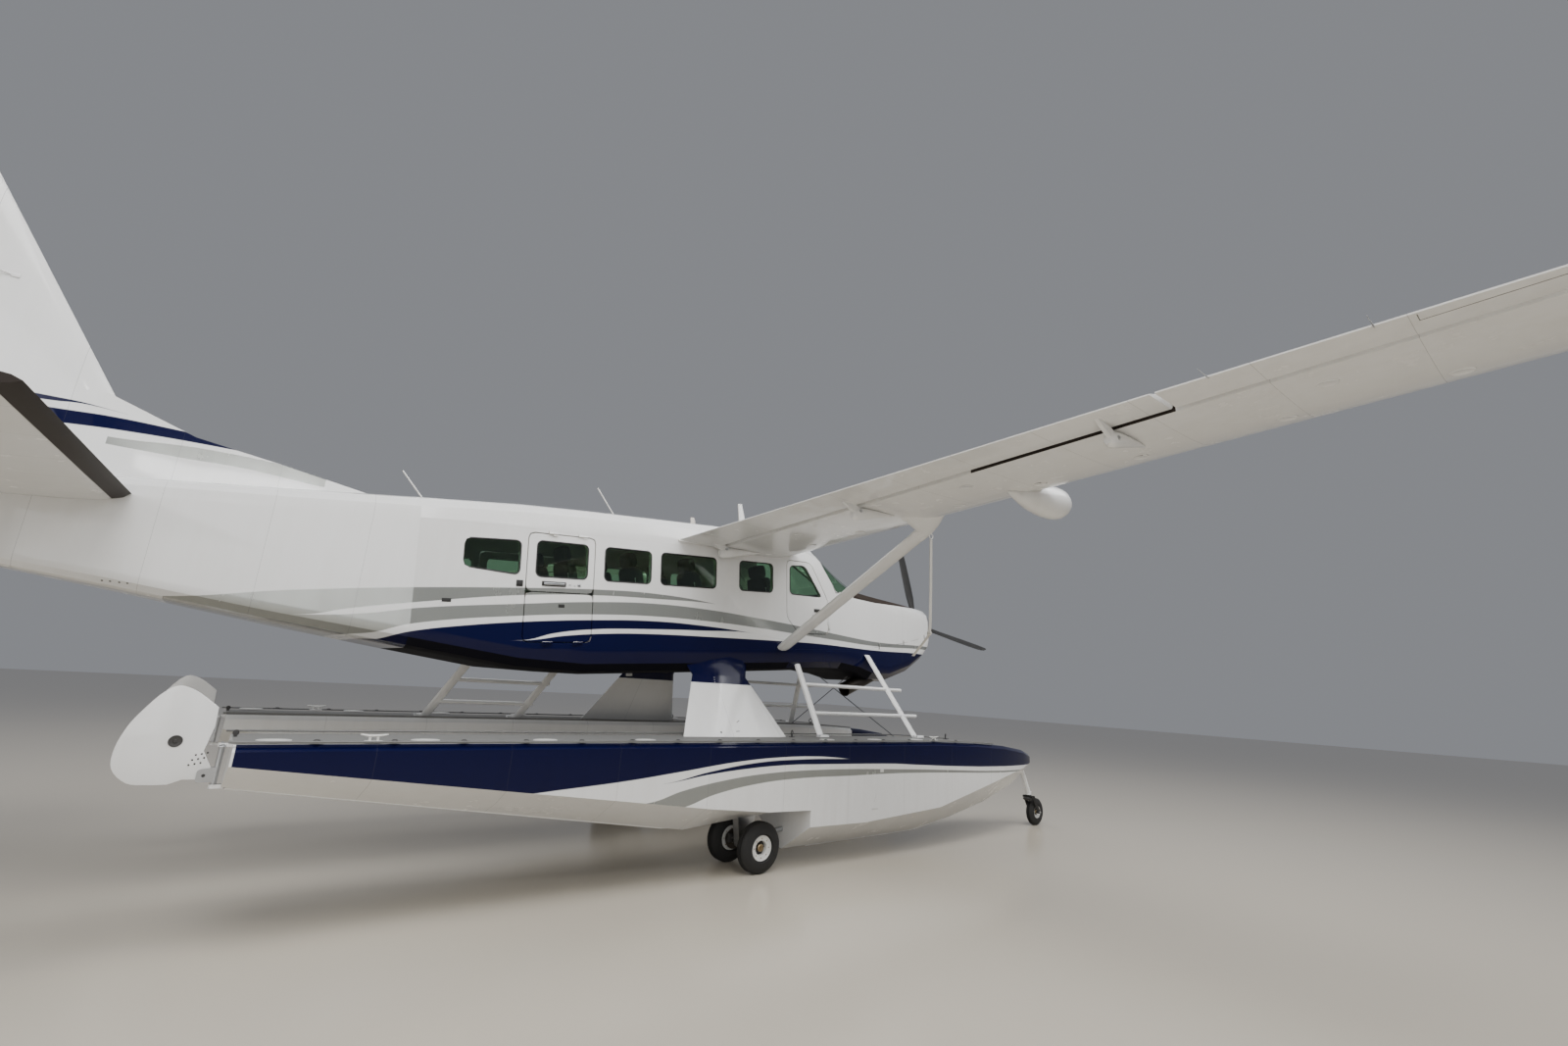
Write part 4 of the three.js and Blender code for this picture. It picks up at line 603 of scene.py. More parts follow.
# The black on the wing's rear wall in the flap gap is painted shade.
WING_PAINT = paint("wing paint", None, [(flap_gap_shade, BOOT_RUBBER_AND_GAP_SHADE, 0.6)], step=0.62, along=1, across=0, dirt=0.16)
TAIL_PAINT = paint("tailplane paint", None, [(tail_boot, BOOT_RUBBER_AND_GAP_SHADE, 0.5)], step=0.52, along=1, across=0)
FLOAT_PAINT = paint("float paint", FLOAT_BANDS, [(walking_deck, DECK_GREY, 0.7)], step=0.9, dirt=0.14)
PYLON_PAINT = paint("pylon paint", None, [(pylon_cuff, NAVY_PAINT, NAVY_ROUGHNESS)], step=9.0, start=0.62)
STRUT_PAINT = paint("strut paint", step=9.0, start=4.0)
TYRE = plain_noise_finish("tyre rubber", (0.008, 0.008, 0.008, 1), (0.018, 0.017, 0.016, 1), 0.78, 90.0, 0.3)
METAL = plain_noise_finish("bare metal", (0.55, 0.56, 0.57, 1), (0.42, 0.43, 0.44, 1), 0.32, 120.0, 0.1, 1.0)
POLISHED = plain_noise_finish("polished metal", (0.86, 0.86, 0.87, 1), (0.78, 0.78, 0.8, 1), 0.1, 40.0, 0.03, 1.0)
BLACK = plain_noise_finish("black paint", (0.005, 0.005, 0.005, 1), (0.012, 0.011, 0.01, 1), 0.6, 80.0, 0.1)
ENGINE = plain_noise_finish("burnt steel", (0.10, 0.085, 0.07, 1), (0.03, 0.028, 0.026, 1), 0.5, 30.0, 0.3, 0.9)
CABLE = plain_noise_finish("cable steel", (0.20, 0.20, 0.21, 1), (0.12, 0.12, 0.12, 1), 0.4, 400.0, 0.3, 1.0)
SEAT = plain_noise_finish("seat cloth", (0.030, 0.030, 0.033, 1), (0.050, 0.048, 0.046, 1), 0.9, 300.0, 0.5)

# %% Dress the solids
FINISHES = {
    "cabin": CABIN_PAINT, "crew_door": CABIN_PAINT, "passenger_door": CABIN_PAINT, "cargo_door": CABIN_PAINT,
    "cowl": COWL_PAINT, "wing": WING_PAINT, "flap": WING_PAINT, "aileron": WING_PAINT, "stabilizer": TAIL_PAINT,
    "elevators": TAIL_PAINT, "float": FLOAT_PAINT, "wing_strut": STRUT_PAINT, "float_pylon": PYLON_PAINT,
    "front_float_struts": STRUT_PAINT, "aft_ladder": STRUT_PAINT, "main_leg": METAL, "nose_leg": STRUT_PAINT,
    "water_rudder": STRUT_PAINT, "water_rudder_post": METAL, "main_wheels": TYRE, "nose_wheel": TYRE,
    "nose_fork": BLACK, "engine_block": ENGINE, "propeller": BLACK, "spinner": POLISHED, "brace_wires": CABLE,
    "cabin_interior": SEAT, "mooring_strap": SEAT,
}


def longest_match(name, table):
    found = [key for key in table if name.startswith(key)]
    return table[max(found, key=len)] if found else None


GLASS = finish_of("tinted glass", Base_Color=(0.50, 0.73, 0.54, 1), Roughness=0.015, Transmission_Weight=1.0,
    IOR=1.45)[0]
for name, solid in nodes.items():
    solid.data.materials.clear()
    finish = GLASS if "glass" in name or name == "windshield" else longest_match(name, FINISHES)
    solid.data.materials.append(finish or AIRFRAME_PAINT)
print("dressed", len(nodes))

# %% [markdown]
# ## Modelling by hand, in code
#
# Every new piece starts as a primitive and is shaped in edit mode with the same operators that a modeller uses by
# hand. Operators act on whatever is selected, so each helper deselects everything first and then picks faces by
# their place or direction. A finished piece has its place in its mesh, so that paint patterns stay put.

# %% Modelling helpers


def only(thing):
    """Selects one object alone and makes it active."""
    bpy.ops.object.select_all(action="DESELECT")
    thing.select_set(True)
    bpy.context.view_layer.objects.active = thing


def edit(thing, mode="FACE", take="DESELECT"):
    """Opens a piece in edit mode, with nothing selected unless told otherwise."""
    only(thing)
    bpy.ops.object.mode_set(mode="EDIT")
    bpy.ops.mesh.select_mode(type=mode)
    bpy.ops.mesh.select_all(action=take)


def done():
    bpy.ops.object.mode_set(mode="OBJECT")


def pick(test):
    """In edit mode, selects the faces whose centre and normal pass the test."""
    bpy.ops.mesh.select_all(action="DESELECT")
    mesh = bmesh.from_edit_mesh(bpy.context.edit_object.data)
    for face in mesh.faces:
        if test(face.calc_center_median(), face.normal):
            face.select_set(True)
    bmesh.update_edit_mesh(bpy.context.edit_object.data)


def pull(offset, scale=1.0):
    """Extrudes the selection by an offset and resizes its new end."""
    bpy.ops.mesh.extrude_region_move(TRANSFORM_OT_translate={"value": offset})
    if scale != 1.0:
        bpy.ops.transform.resize(value=(scale, scale, scale))


def at(x, y, z, turn=None):
    return Matrix.Translation((x, y, z)) @ (turn or GROUND)


def laid(piece, place):
    piece.data.transform(place)
    return piece


def bake_place(thing):
    only(thing)
    bpy.ops.object.transform_apply(location=True, rotation=True, scale=True)


def block(centre, size, bevel=0.0):
    """A box of a given size, with its edges rounded."""
    bpy.ops.mesh.primitive_cube_add(size=1, location=centre)
    piece = bpy.context.object
    piece.scale = size
    bake_place(piece)
    if bevel:
        round_edges(piece, bevel)
    return piece


def modified(piece, kind, **settings):
    """Adds one modifier with its settings and applies it."""
    only(piece)
    bpy.ops.object.modifier_add(type=kind)
    for label, value in settings.items():
        setattr(piece.modifiers[-1], label, value)
    bpy.ops.object.modifier_apply(modifier=piece.modifiers[-1].name)


def round_edges(piece, width, segments=2, angle=40):
    modified(piece, "BEVEL", width=width, segments=segments, angle_limit=math.radians(angle))


def bar(start, end, radius, sides=16, end_radius=None):
    """A round bar between two points. It tapers where an end radius is given."""
    start, end = Vector(start), Vector(end)
    way = end - start
    tip = radius if end_radius is None else end_radius
    turn = way.to_track_quat("Z", "Y").to_euler()
    bpy.ops.mesh.primitive_cone_add(vertices=sides, radius1=radius, radius2=tip, depth=way.length,
        location=(start + end) / 2, rotation=turn)
    piece = bpy.context.object
    bake_place(piece)
    return piece


def turned(profile, steps=48):
    """Draws a profile of (along, radius) points, and spins it round the X axis."""
    bpy.ops.mesh.primitive_plane_add(size=1)
    piece = bpy.context.object
    edit(piece, "VERT", "SELECT")
    bpy.ops.mesh.merge(type="CENTER")
    bpy.ops.transform.translate(value=(profile[0][0], 0, profile[0][1]))
    for (x0, r0), (x1, r1) in zip(profile, profile[1:]):
        bpy.ops.mesh.extrude_vertices_move(TRANSFORM_OT_translate={"value": (x1 - x0, 0, r1 - r0)})
    bpy.ops.mesh.select_all(action="SELECT")
    bpy.ops.mesh.spin(steps=steps, angle=math.tau, center=(0, 0, 0), axis=(1, 0, 0))
    tidy_mesh()
    return piece


def tidy_mesh():
    """Merges doubles, turns all faces outwards and leaves edit mode."""
    bpy.ops.mesh.select_all(action="SELECT")
    bpy.ops.mesh.remove_doubles(threshold=0.00002)
    bpy.ops.mesh.normals_make_consistent(inside=False)
    done()


def copy_of(piece, place=GROUND):
    """A copy with its own mesh, moved by a matrix. A mirrored copy is turned right side out."""
    twin = piece.copy()
    twin.data = piece.data.copy()
    bpy.context.scene.collection.objects.link(twin)
    twin.data.transform(place)
    if place.determinant() < 0:
        twin.data.flip_normals()
    return twin


def joined(pieces):
    """Joins several pieces into the first."""
    bpy.ops.object.select_all(action="DESELECT")
    for piece in pieces:
        piece.select_set(True)
    bpy.context.view_layer.objects.active = pieces[0]
    bpy.ops.object.join()
    return pieces[0]


def settle(piece, name, material, body="airframe", place=GROUND, smooth=35, replaces=()):
    """Puts a finished piece in its place, names and dresses it, and ties it to its body."""
    bake_place(piece)
    piece.data.transform(place)
    bpy.ops.object.shade_smooth_by_angle(angle=math.radians(smooth))
    piece.name = name
    piece.data.name = name
    piece.data.materials.clear()
    piece.data.materials.append(material)
    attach(piece, body)
    if replaces:
        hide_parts(*replaces)
    return piece


FLIP = Matrix.Scale(-1, 4, (0, 1, 0))
print("helpers ready")

# %% [markdown]
# ## The mooring strap
#
# A length of flat webbing hangs from the ring in front of the right wing strut. Webbing is a ribbon, wide and thin,
# and it hangs straight until its knot. It is made as a small box whose lower end is extruded from point to point
# along the strap's route, so that its real length is exactly the length of the route.

# %% Mooring strap
STRAP_X = 1.73454
STRAP_ROUTE = [
    (STRAP_X, -2.912, 3.319), (STRAP_X, -2.912, 3.2), (STRAP_X, -2.912, 2.95), (STRAP_X, -2.911, 2.7),
    (STRAP_X, -2.908, 2.5), (STRAP_X, -2.903, 2.4), (STRAP_X, -2.889, 2.35), (STRAP_X, -2.85, 2.3),
    (STRAP_X, -2.78, 2.23), (STRAP_X, -2.696, 2.144),
]
STRAP_WIDTH = 0.038
STRAP_THICK = 0.0055


def smooth_route(points, per_span=5):
    """More points along a Catmull-Rom curve through the given ones."""
    knots = [Vector(p) for p in points]
    knots = [2 * knots[0] - knots[1], *knots, 2 * knots[-1] - knots[-2]]
    route = []
    for a, b, c, d in zip(knots, knots[1:], knots[2:], knots[3:]):
        for i in range(per_span):
            t = i / per_span
            route.append(0.5 * (2 * b + (c - a) * t + (2 * a - 5 * b + 4 * c - d) * t ** 2
                                + (3 * b - a - 3 * c + d) * t ** 3))
    return [*route, knots[-2]]


def ribbon(route, width, thick):
    """A flat band along a route, extruded from point to point."""
    piece = block(route[0], (width, thick, 0.0001))
    edit(piece)
    pick(lambda centre, normal: normal.z < -0.9)
    for a, b in zip(route, route[1:]):
        pull(b - a)
    tidy_mesh()
    return piece


strap_route = smooth_route(STRAP_ROUTE)
WEBBING = plain_noise_finish("white webbing", (0.62, 0.61, 0.57, 1), (0.5, 0.48, 0.44, 1), 0.9, 900.0, 0.6)
strap = settle(ribbon(strap_route, STRAP_WIDTH, STRAP_THICK), "mooring_strap_webbing", WEBBING,
    replaces=["mooring_strap"])

# %% Strap knot
KNOT_PLACE = Vector((STRAP_X, -2.898, 2.378))


def strap_knot():
    wraps = []
    for drop, radius in ((0.0, 0.015), (0.012, 0.017), (0.025, 0.014)):
        bpy.ops.mesh.primitive_torus_add(location=KNOT_PLACE - Vector((0, 0, drop)), major_radius=radius,
            minor_radius=0.0075, major_segments=20, minor_segments=8)
        wraps.append(bpy.context.object)
    return joined(wraps)


knot = settle(strap_knot(), "mooring_strap_knot", WEBBING)

# %% [markdown]
# ## Softer solids
#
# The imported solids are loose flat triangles. Real sheet metal has smooth curves and slightly rounded edges. A small
# Geometry Nodes modifier merges the triangles and marks only the sharp edges as sharp, and a Weighted Normal
# modifier keeps large flat faces flat. The solid's own mesh isn't changed.

# %% Smooth shading for the solids
SHARP_ANGLE = 24


def smooth_by_angle_nodes():
    tree = bpy.data.node_groups.new("merge and smooth", "GeometryNodeTree")
    tree.interface.new_socket("Geometry", in_out="INPUT", socket_type="NodeSocketGeometry")
    tree.interface.new_socket("Geometry", in_out="OUTPUT", socket_type="NodeSocketGeometry")
    start = tree.nodes.new("NodeGroupInput")
    end = tree.nodes.new("NodeGroupOutput")
    merge = add(tree, "GeometryNodeMergeByDistance", Geometry=start.outputs[0], Distance=0.0001)
    smooth = add(tree, "GeometryNodeSetShadeSmooth", Geometry=merge.outputs[0], Shade_Smooth=True)
    angle = tree.nodes.new("GeometryNodeInputMeshEdgeAngle")
    sharp = add(tree, "FunctionNodeCompare", {"operation": "GREATER_THAN"}, i0=angle.outputs[0],
        i1=math.radians(SHARP_ANGLE))
    edges = add(tree, "GeometryNodeSetShadeSmooth", {"domain": "EDGE"}, Geometry=smooth.outputs[0],
        Selection=sharp.outputs[0], Shade_Smooth=False)
    tree.links.new(edges.outputs[0], end.inputs[0])
    return tree


SMOOTHING = smooth_by_angle_nodes()


def soften(solid):
    """Merges and smooths a solid."""
    only(solid)
    if solid.data.has_custom_normals:
        bpy.ops.mesh.customdata_custom_splitnormals_clear()
    modifier = solid.modifiers.new("smooth", "NODES")
    modifier.node_group = SMOOTHING
    weighted = solid.modifiers.new("flat faces", "WEIGHTED_NORMAL")
    weighted.keep_sharp = True


for solid in nodes.values():
    soften(solid)
print("softened", len(nodes))

# %% [markdown]
# ## Wheels
#
# The main wheels are twin tyres on one axle, with white rims and deep recesses whose bottoms are painted dark as
# shade. A wheel is a turned piece, so its profile is drawn once and spun. The tread's grooves and the round shoulder
# are in the profile. Eight bolts and a bronze hub make it read as a real wheel.

# %% Tyres and rims
MAIN = {"radius": 0.236, "half": 0.075, "bead": 0.118, "x": 0.77124, "z": 0.236}
NOSE = {"radius": 0.187, "half": 0.055, "bead": 0.088, "x": 6.20224, "z": 0.187}
TRACK = 1.346
WHEEL_OFFSET = 0.255
HUB_BOLTS = 8
RIM_WHITE = plain_noise_finish("rim paint", (0.70, 0.70, 0.68, 1), (0.55, 0.54, 0.5, 1), 0.35, 90.0, 0.1)
# Dark fittings; the same finish is the painted shade at the bottom of the wheels' recesses.
MATT_DARK = plain_noise_finish("dark fittings and recess shade", (0.022, 0.021, 0.02, 1), (0.04, 0.038, 0.036, 1), 0.55, 150.0, 0.2)
BRONZE = plain_noise_finish("hub metal", (0.36, 0.28, 0.17, 1), (0.26, 0.2, 0.12, 1), 0.35, 90.0, 0.1, 1.0)
TO_Y = Matrix.Rotation(math.pi / 2, 4, "Z")


def tyre_profile(size):
    """Half circle shoulders, a flat crown with four grooves, and beads on the rim."""
    radius, half, bead = size["radius"], size["half"], size["bead"]
    crown = half * 0.62
    shoulder = half * 0.9
    points = [(-half * 0.62, bead), (-half * 0.8, bead + 0.006)]
    for i in range(9):
        angle = math.pi * (1 - i / 16)
        points.append((-crown * 0.35 + (shoulder - crown * 0.35 + half * 0.1) * math.cos(angle),
            bead + 0.012 + (radius - bead - 0.012) * math.sin(angle)))
    grooves = [-0.3, -0.1, 0.1, 0.3]
    width = half * 0.05
    for place in grooves:
        middle = place * crown * 2
        points += [(middle - width, radius), (middle - width * 0.7, radius - 0.006),
            (middle + width * 0.7, radius - 0.006), (middle + width, radius)]
    mirrored_side = [(-x, r) for x, r in reversed(points[:11])]
    return points + mirrored_side


def rim(size):
    """One side of a rim: a flange, a dished white face, and the wall of a deep recess."""
    bead, half = size["bead"], size["half"]
    face = half * 0.7
    profile = [(0, bead), (face, bead), (face + 0.006, bead - 0.002), (face + 0.006, bead - 0.011),
        (face - 0.002, bead - 0.017), (face - 0.006, bead * 0.62), (face - 0.009, bead * 0.57), (0.003, bead * 0.55)]
    return turned(profile, 48)


def recess(size):
    """Painted shade: a dark disc at the bottom of the rim's recess, with a ring of slots between its ribs."""
    bead = size["bead"]
    parts = [turned([(0.0, bead * 0.55), (0.006, bead * 0.55), (0.006, 0.0)], 40)]
    for i in range(6):
        angle = math.tau * i / 6
        y, z = math.cos(angle), math.sin(angle)
        parts.append(bar((0.012, bead * 0.2 * y, bead * 0.2 * z), (0.012, bead * 0.54 * y, bead * 0.54 * z), 0.006, 8))
    return joined(parts)


def hub(size):
    """A bronze hub with its cap, and bolt heads on the white face."""
    bead, half = size["bead"], size["half"]
    face = half * 0.7
    parts = [turned([(0, bead * 0.3), (face - 0.014, bead * 0.3), (face - 0.008, bead * 0.25),
        (face - 0.008, bead * 0.14), (face + 0.004, bead * 0.12), (face + 0.006, bead * 0.08), (face + 0.006, 0)], 32)]
    for i in range(HUB_BOLTS):
        angle = math.tau * i / HUB_BOLTS
        y, z = bead * 0.74 * math.cos(angle), bead * 0.74 * math.sin(angle)
        parts.append(bar((face - 0.012, y, z), (face + 0.001, y, z), bead * 0.045, 6))
    return joined(parts)


def wheel_parts(size):
    """Tyre, rim, recess and hub of one wheel, the same on both faces, turned onto the Y axis."""
    back = Matrix.Rotation(math.pi, 4, "Z")
    parts = [turned(tyre_profile(size), 72)]
    for face in (rim(size), recess(size), hub(size)):
        parts.append(joined([face, copy_of(face, back)]))
    for part in parts:
        part.data.transform(TO_Y)
    return parts


def place_wheels(kind, size, side, offsets, body):
    sets = []
    for way in offsets:
        parts = wheel_parts(size)
        for part in parts:
            laid(part, at(size["x"], SIDES[side] * TRACK + way, size["z"]))
        sets.append(parts)
    # The recess discs are painted shade in the rims' recesses; the rims themselves are white.
    names = (("tyres", TYRE), ("rims", RIM_WHITE), ("recess_shades", MATT_DARK), ("hubs", BRONZE))
    for i, (label, material) in enumerate(names):
        together = joined([parts[i] for parts in sets])
        settle(together, f"{kind}_{label}_{side}", material, body, replaces=[body])


for side in SIDES:
    place_wheels("main", MAIN, side, (-WHEEL_OFFSET, WHEEL_OFFSET), f"main_wheels_{side}")
    place_wheels("nose", NOSE, side, (0.0,), f"nose_wheel_{side}")
    axle = bar((MAIN["x"], SIDES[side] * TRACK - 0.29, MAIN["z"]), (MAIN["x"], SIDES[side] * TRACK + 0.29, MAIN["z"]),
        0.022)
    settle(axle, f"main_axle_{side}", METAL, f"main_wheels_{side}", replaces=[f"main_wheels_{side}"])
print("wheels placed")

# %% [markdown]
# ## Propeller and spinner
#
# Each blade is thick and round at its root, wide in the middle and thin at its tip, and it twists along its length.
# A circle is flattened into a section and extruded from one section to the next, with a turn at each step.

# %% Propeller
PROP = {"u": -0.633, "w": 0.774, "angle": -0.309, "blades": 3}
BLADE_SECTIONS = [
    # distance from the hub, chord, thickness, turn from the feathered pitch
    (0.11, 0.084, 0.084, 0.1), (0.2, 0.086, 0.08, 0.1), (0.26, 0.095, 0.066, 0.1), (0.35, 0.135, 0.052, 0.11),
    (0.45, 0.175, 0.042, 0.12), (0.6, 0.196, 0.034, 0.165), (0.8, 0.205, 0.026, 0.22), (1.0, 0.203, 0.021, 0.262),
    (1.15, 0.195, 0.017, 0.3), (1.26, 0.175, 0.014, 0.325), (1.32, 0.14, 0.011, 0.34), (1.345, 0.066, 0.008, 0.34),
]
SPINNER_PROFILE = [(-0.722, 0.0), (-0.722, 0.2), (-0.712, 0.2), (-0.709, 0.196), (-0.702, 0.196), (-0.699, 0.2),
    (-0.64, 0.199), (-0.59, 0.193), (-0.54, 0.184), (-0.49, 0.169), (-0.44, 0.149), (-0.39, 0.122), (-0.345, 0.09),
    (-0.31, 0.058), (-0.287, 0.03), (-0.275, 0.0)]


def blade():
    first, chord, thick, turn = BLADE_SECTIONS[0]
    bpy.ops.mesh.primitive_circle_add(vertices=28, radius=0.5, fill_type="NGON", location=(0, 0, first))
    piece = bpy.context.object
    piece.scale = (chord, thick, 1)
    bake_place(piece)
    edit(piece, take="SELECT")
    bpy.ops.transform.rotate(value=-turn, orient_axis="Z", center_override=(0, 0, first))
    for (r0, c0, t0, a0), (r1, c1, t1, a1) in zip(BLADE_SECTIONS, BLADE_SECTIONS[1:]):
        pull((0, 0, r1 - r0))
        back = Matrix.Rotation(a0, 3, "Z")
        bpy.ops.transform.resize(value=(c1 / c0, t1 / t0, 1), orient_type="LOCAL", orient_matrix=back,
            center_override=(0, 0, r1))
        bpy.ops.transform.rotate(value=-(a1 - a0), orient_axis="Z", center_override=(0, 0, r1))
    tidy_mesh()
    return piece


def blade_place(index):
    turn = math.pi / 2 - PROP["angle"] + index * math.tau / PROP["blades"]
    return at(PROP["u"], 0, PROP["w"], Matrix.Rotation(turn, 4, "X"))


first_blade = blade()
blades = joined([copy_of(first_blade, blade_place(i)) for i in range(PROP["blades"])])
bpy.data.objects.remove(first_blade)
settle(blades, "propeller_blades", BLACK, "propeller", AIRFRAME, replaces=["propeller"])
cone = turned(SPINNER_PROFILE, 64)
cone.location.z = PROP["w"]
settle(cone, "spinner_cone", POLISHED, "propeller", AIRFRAME, smooth=30, replaces=["spinner"])
print("propeller placed")

# %% [markdown]
# ## Window seals
#
# Each pane sits in a thin black rubber seal. A seal is a rounded rectangle: a plane whose four corners are moved to
# the window's corners, rounded by bevelling its vertices, and inset into a ring. The ring is then laid on the cabin
# side, which is slightly curved, by casting a ray at the wall for each of its points.

# %% Window seals
WINDOWS = {
    # corners (u, w): lower aft, lower front, upper front, upper aft. Then the body, and the sides that have it
    "aft": ([(-7.785, 1.1), (-7.298, 1.052), (-7.298, 1.378), (-7.785, 1.366)], "airframe", "right left"),
    "cabin_c": ([(-5.817, 1.046), (-5.107, 1.046), (-5.107, 1.398), (-5.817, 1.398)], "airframe", "right left"),
    "cabin_d": ([(-4.779, 1.046), (-4.279, 1.046), (-4.279, 1.398), (-4.779, 1.398)], "airframe", "right left"),
    "door_a": ([(-7.15, 1.046), (-6.64, 1.046), (-6.64, 1.395), (-7.15, 1.395)], "passenger_door_upper", "right"),
    "cabin_b": ([(-6.462, 1.046), (-5.934, 1.046), (-5.934, 1.395), (-6.462, 1.395)], "airframe", "right"),
    "cargo_a": ([(-7.15, 1.046), (-6.64, 1.046), (-6.64, 1.395), (-7.15, 1.395)], "cargo_door_upper", "left"),
    "cargo_b": ([(-6.462, 1.046), (-5.934, 1.046), (-5.934, 1.395), (-6.462, 1.395)], "cargo_door_upper", "left"),
    "crew": ([(-4.008, 1.046), (-3.412, 1.03), (-3.738, 1.415), (-4.008, 1.4)], "crew_door", "right left"),
}
SEAL_WIDTH = 0.013
SEAL_OUT = 0.006
CLEAR_OF_OPENING = 0.03
CORNER_RADIUS = 0.058
RUBBER = plain_noise_finish("seal rubber", (0.012, 0.012, 0.013, 1), (0.025, 0.025, 0.026, 1), 0.6, 200.0, 0.15)


def skin_at(u, w, side):
    """How far out the cabin's side is, at a point of the side view."""
    start = in_part(u, side * 1.6, w)
    reach = 0.0
    for name in SIDE_SOLIDS[side]:
        hit, point, _, _ = nodes[name].ray_cast(start, Vector((0, -side, 0)))
        if hit and abs(point.y) > reach:
            reach = abs(point.y)
    return reach


BOTH_SIDES = ["cabin_roof", "cowl", "tail_cone", "fin"]
SIDE_SOLIDS = {
    -1: ["cabin_wall_right", "crew_door_right", "passenger_door_upper", "passenger_door_lower", *BOTH_SIDES],
    1: ["cabin_wall_left", "crew_door_left", "cargo_door_upper", "cargo_door_lower", *BOTH_SIDES],
}


def middle_of(corners):
    return sum((Vector(c) for c in corners), Vector((0, 0))) / len(corners)


def spread(corners, by):
    """Moves each corner away from the middle."""
    middle = middle_of(corners)
    return [Vector(c) + (Vector(c) - middle).normalized() * by for c in corners]


def outline_plate(corners, radius, segments=6):
    """A flat plate in the side view, with rounded corners."""
    bpy.ops.mesh.primitive_circle_add(vertices=len(corners), radius=1, fill_type="NGON")
    piece = bpy.context.object
    for vertex, (u, w) in zip(piece.data.vertices, corners):
        vertex.co = (u, 0, w)
    edit(piece, "VERT", "SELECT")
    if radius:
        bpy.ops.mesh.bevel(offset=radius, segments=segments, affect="VERTICES")
    return piece


def ring_of(plate, width):
    """Insets a plate that is open in edit mode, and takes its middle out."""
    bpy.ops.mesh.select_mode(type="FACE")
    bpy.ops.mesh.select_all(action="SELECT")
    bpy.ops.mesh.inset(thickness=width, depth=0)
    bpy.ops.mesh.delete(type="FACE")
    done()
    return plate


def lay_on_side(piece, side, middle):
    """Lays a flat piece on the cabin's side. Points are looked up a little outside the middle, clear of openings."""
    for vertex in piece.data.vertices:
        look = Vector((vertex.co.x, vertex.co.z))
        look += (look - middle).normalized() * CLEAR_OF_OPENING
        vertex.co.y = side * skin_at(look.x, look.y, side)


def thicken(piece, thick, bevel=0.0):
    modified(piece, "SOLIDIFY", thickness=thick, offset=0)
    bpy.ops.object.mode_set(mode="EDIT")
    tidy_mesh()
    if bevel:
        round_edges(piece, bevel)
    return piece


def window_seal(name, corners, body, side_name):
    side = SIDES[side_name]
    piece = ring_of(outline_plate(spread(corners, SEAL_OUT), CORNER_RADIUS), SEAL_WIDTH)
    lay_on_side(piece, side, middle_of(corners))
    thicken(piece, 0.005, 0.0012)
    body = f"crew_door_{side_name}" if body == "crew_door" else body
    settle(piece, f"window_seal_{name}_{side_name}", RUBBER, body, AIRFRAME)


for name, (corners, body, sides) in WINDOWS.items():
    for side_name in sides.split():
        window_seal(name, corners, body, side_name)

# %% [markdown]
# ## Seats
#
# Eight seats stand in four rows and show as dark shapes behind the glass. A seat has a cushion and a back of cloth
# over foam, a headrest, two side frames and a pair of feet on rails. The foam is modelled as a box that is cut into
# a grid, crowned in its middle, pulled in at its corners and smoothed with a subdivision surface. One seat is made,
# and the others are copies.

# %% Seats
ROWS = [-3.85, -4.9, -5.65, -6.4]
SEAT_V = 0.37
FLOOR_W = 0.3753
SEAT_TOP = FLOOR_W + 0.34
SEAT_WIDTH = 0.43
FOAM_CUTS = 5


def foam(centre, size, crown):
    """A crowned pad with sunk corners and a seam line round it."""
    piece = block(centre, size)
    edit(piece, take="SELECT")
    bpy.ops.mesh.subdivide(number_cuts=FOAM_CUTS)
    done()
    half = Vector(size) / 2
    for vertex in piece.data.vertices:
        offset = vertex.co - Vector(centre)
        share = Vector([offset[i] / half[i] for i in range(3)])
        for i in range(3):
            others = [abs(share[j]) for j in range(3) if j != i]
            swell = (1 - others[0] ** 2) * (1 - others[1] ** 2)
            vertex.co[i] += share[i] * crown * (swell - 0.6 * others[0] ** 4 * others[1] ** 4)
    modified(piece, "SUBSURF", levels=1, render_levels=1)
    return piece


def seat_frame():
    half = SEAT_WIDTH / 2
    parts = []
    for y in (-half + 0.03, half - 0.03):
        parts += [
            bar((0.17, y, FLOOR_W + 0.002), (0.13, y, SEAT_TOP - 0.09), 0.014),
            bar((-0.2, y, FLOOR_W + 0.002), (-0.16, y, SEAT_TOP - 0.09), 0.014),
            bar((0.2, y, SEAT_TOP - 0.095), (-0.22, y, SEAT_TOP - 0.095), 0.014),
            bar((-0.22, y, SEAT_TOP - 0.1), (-0.33, y, SEAT_TOP + 0.42), 0.012),
            block((0, y, FLOOR_W + 0.008), (0.48, 0.03, 0.012), 0.003),
        ]
    for x, z in ((0.15, SEAT_TOP - 0.095), (-0.17, SEAT_TOP - 0.095), (-0.28, SEAT_TOP + 0.2)):
        parts.append(bar((x, -half + 0.03, z), (x, half - 0.03, z), 0.011))
    return joined(parts)


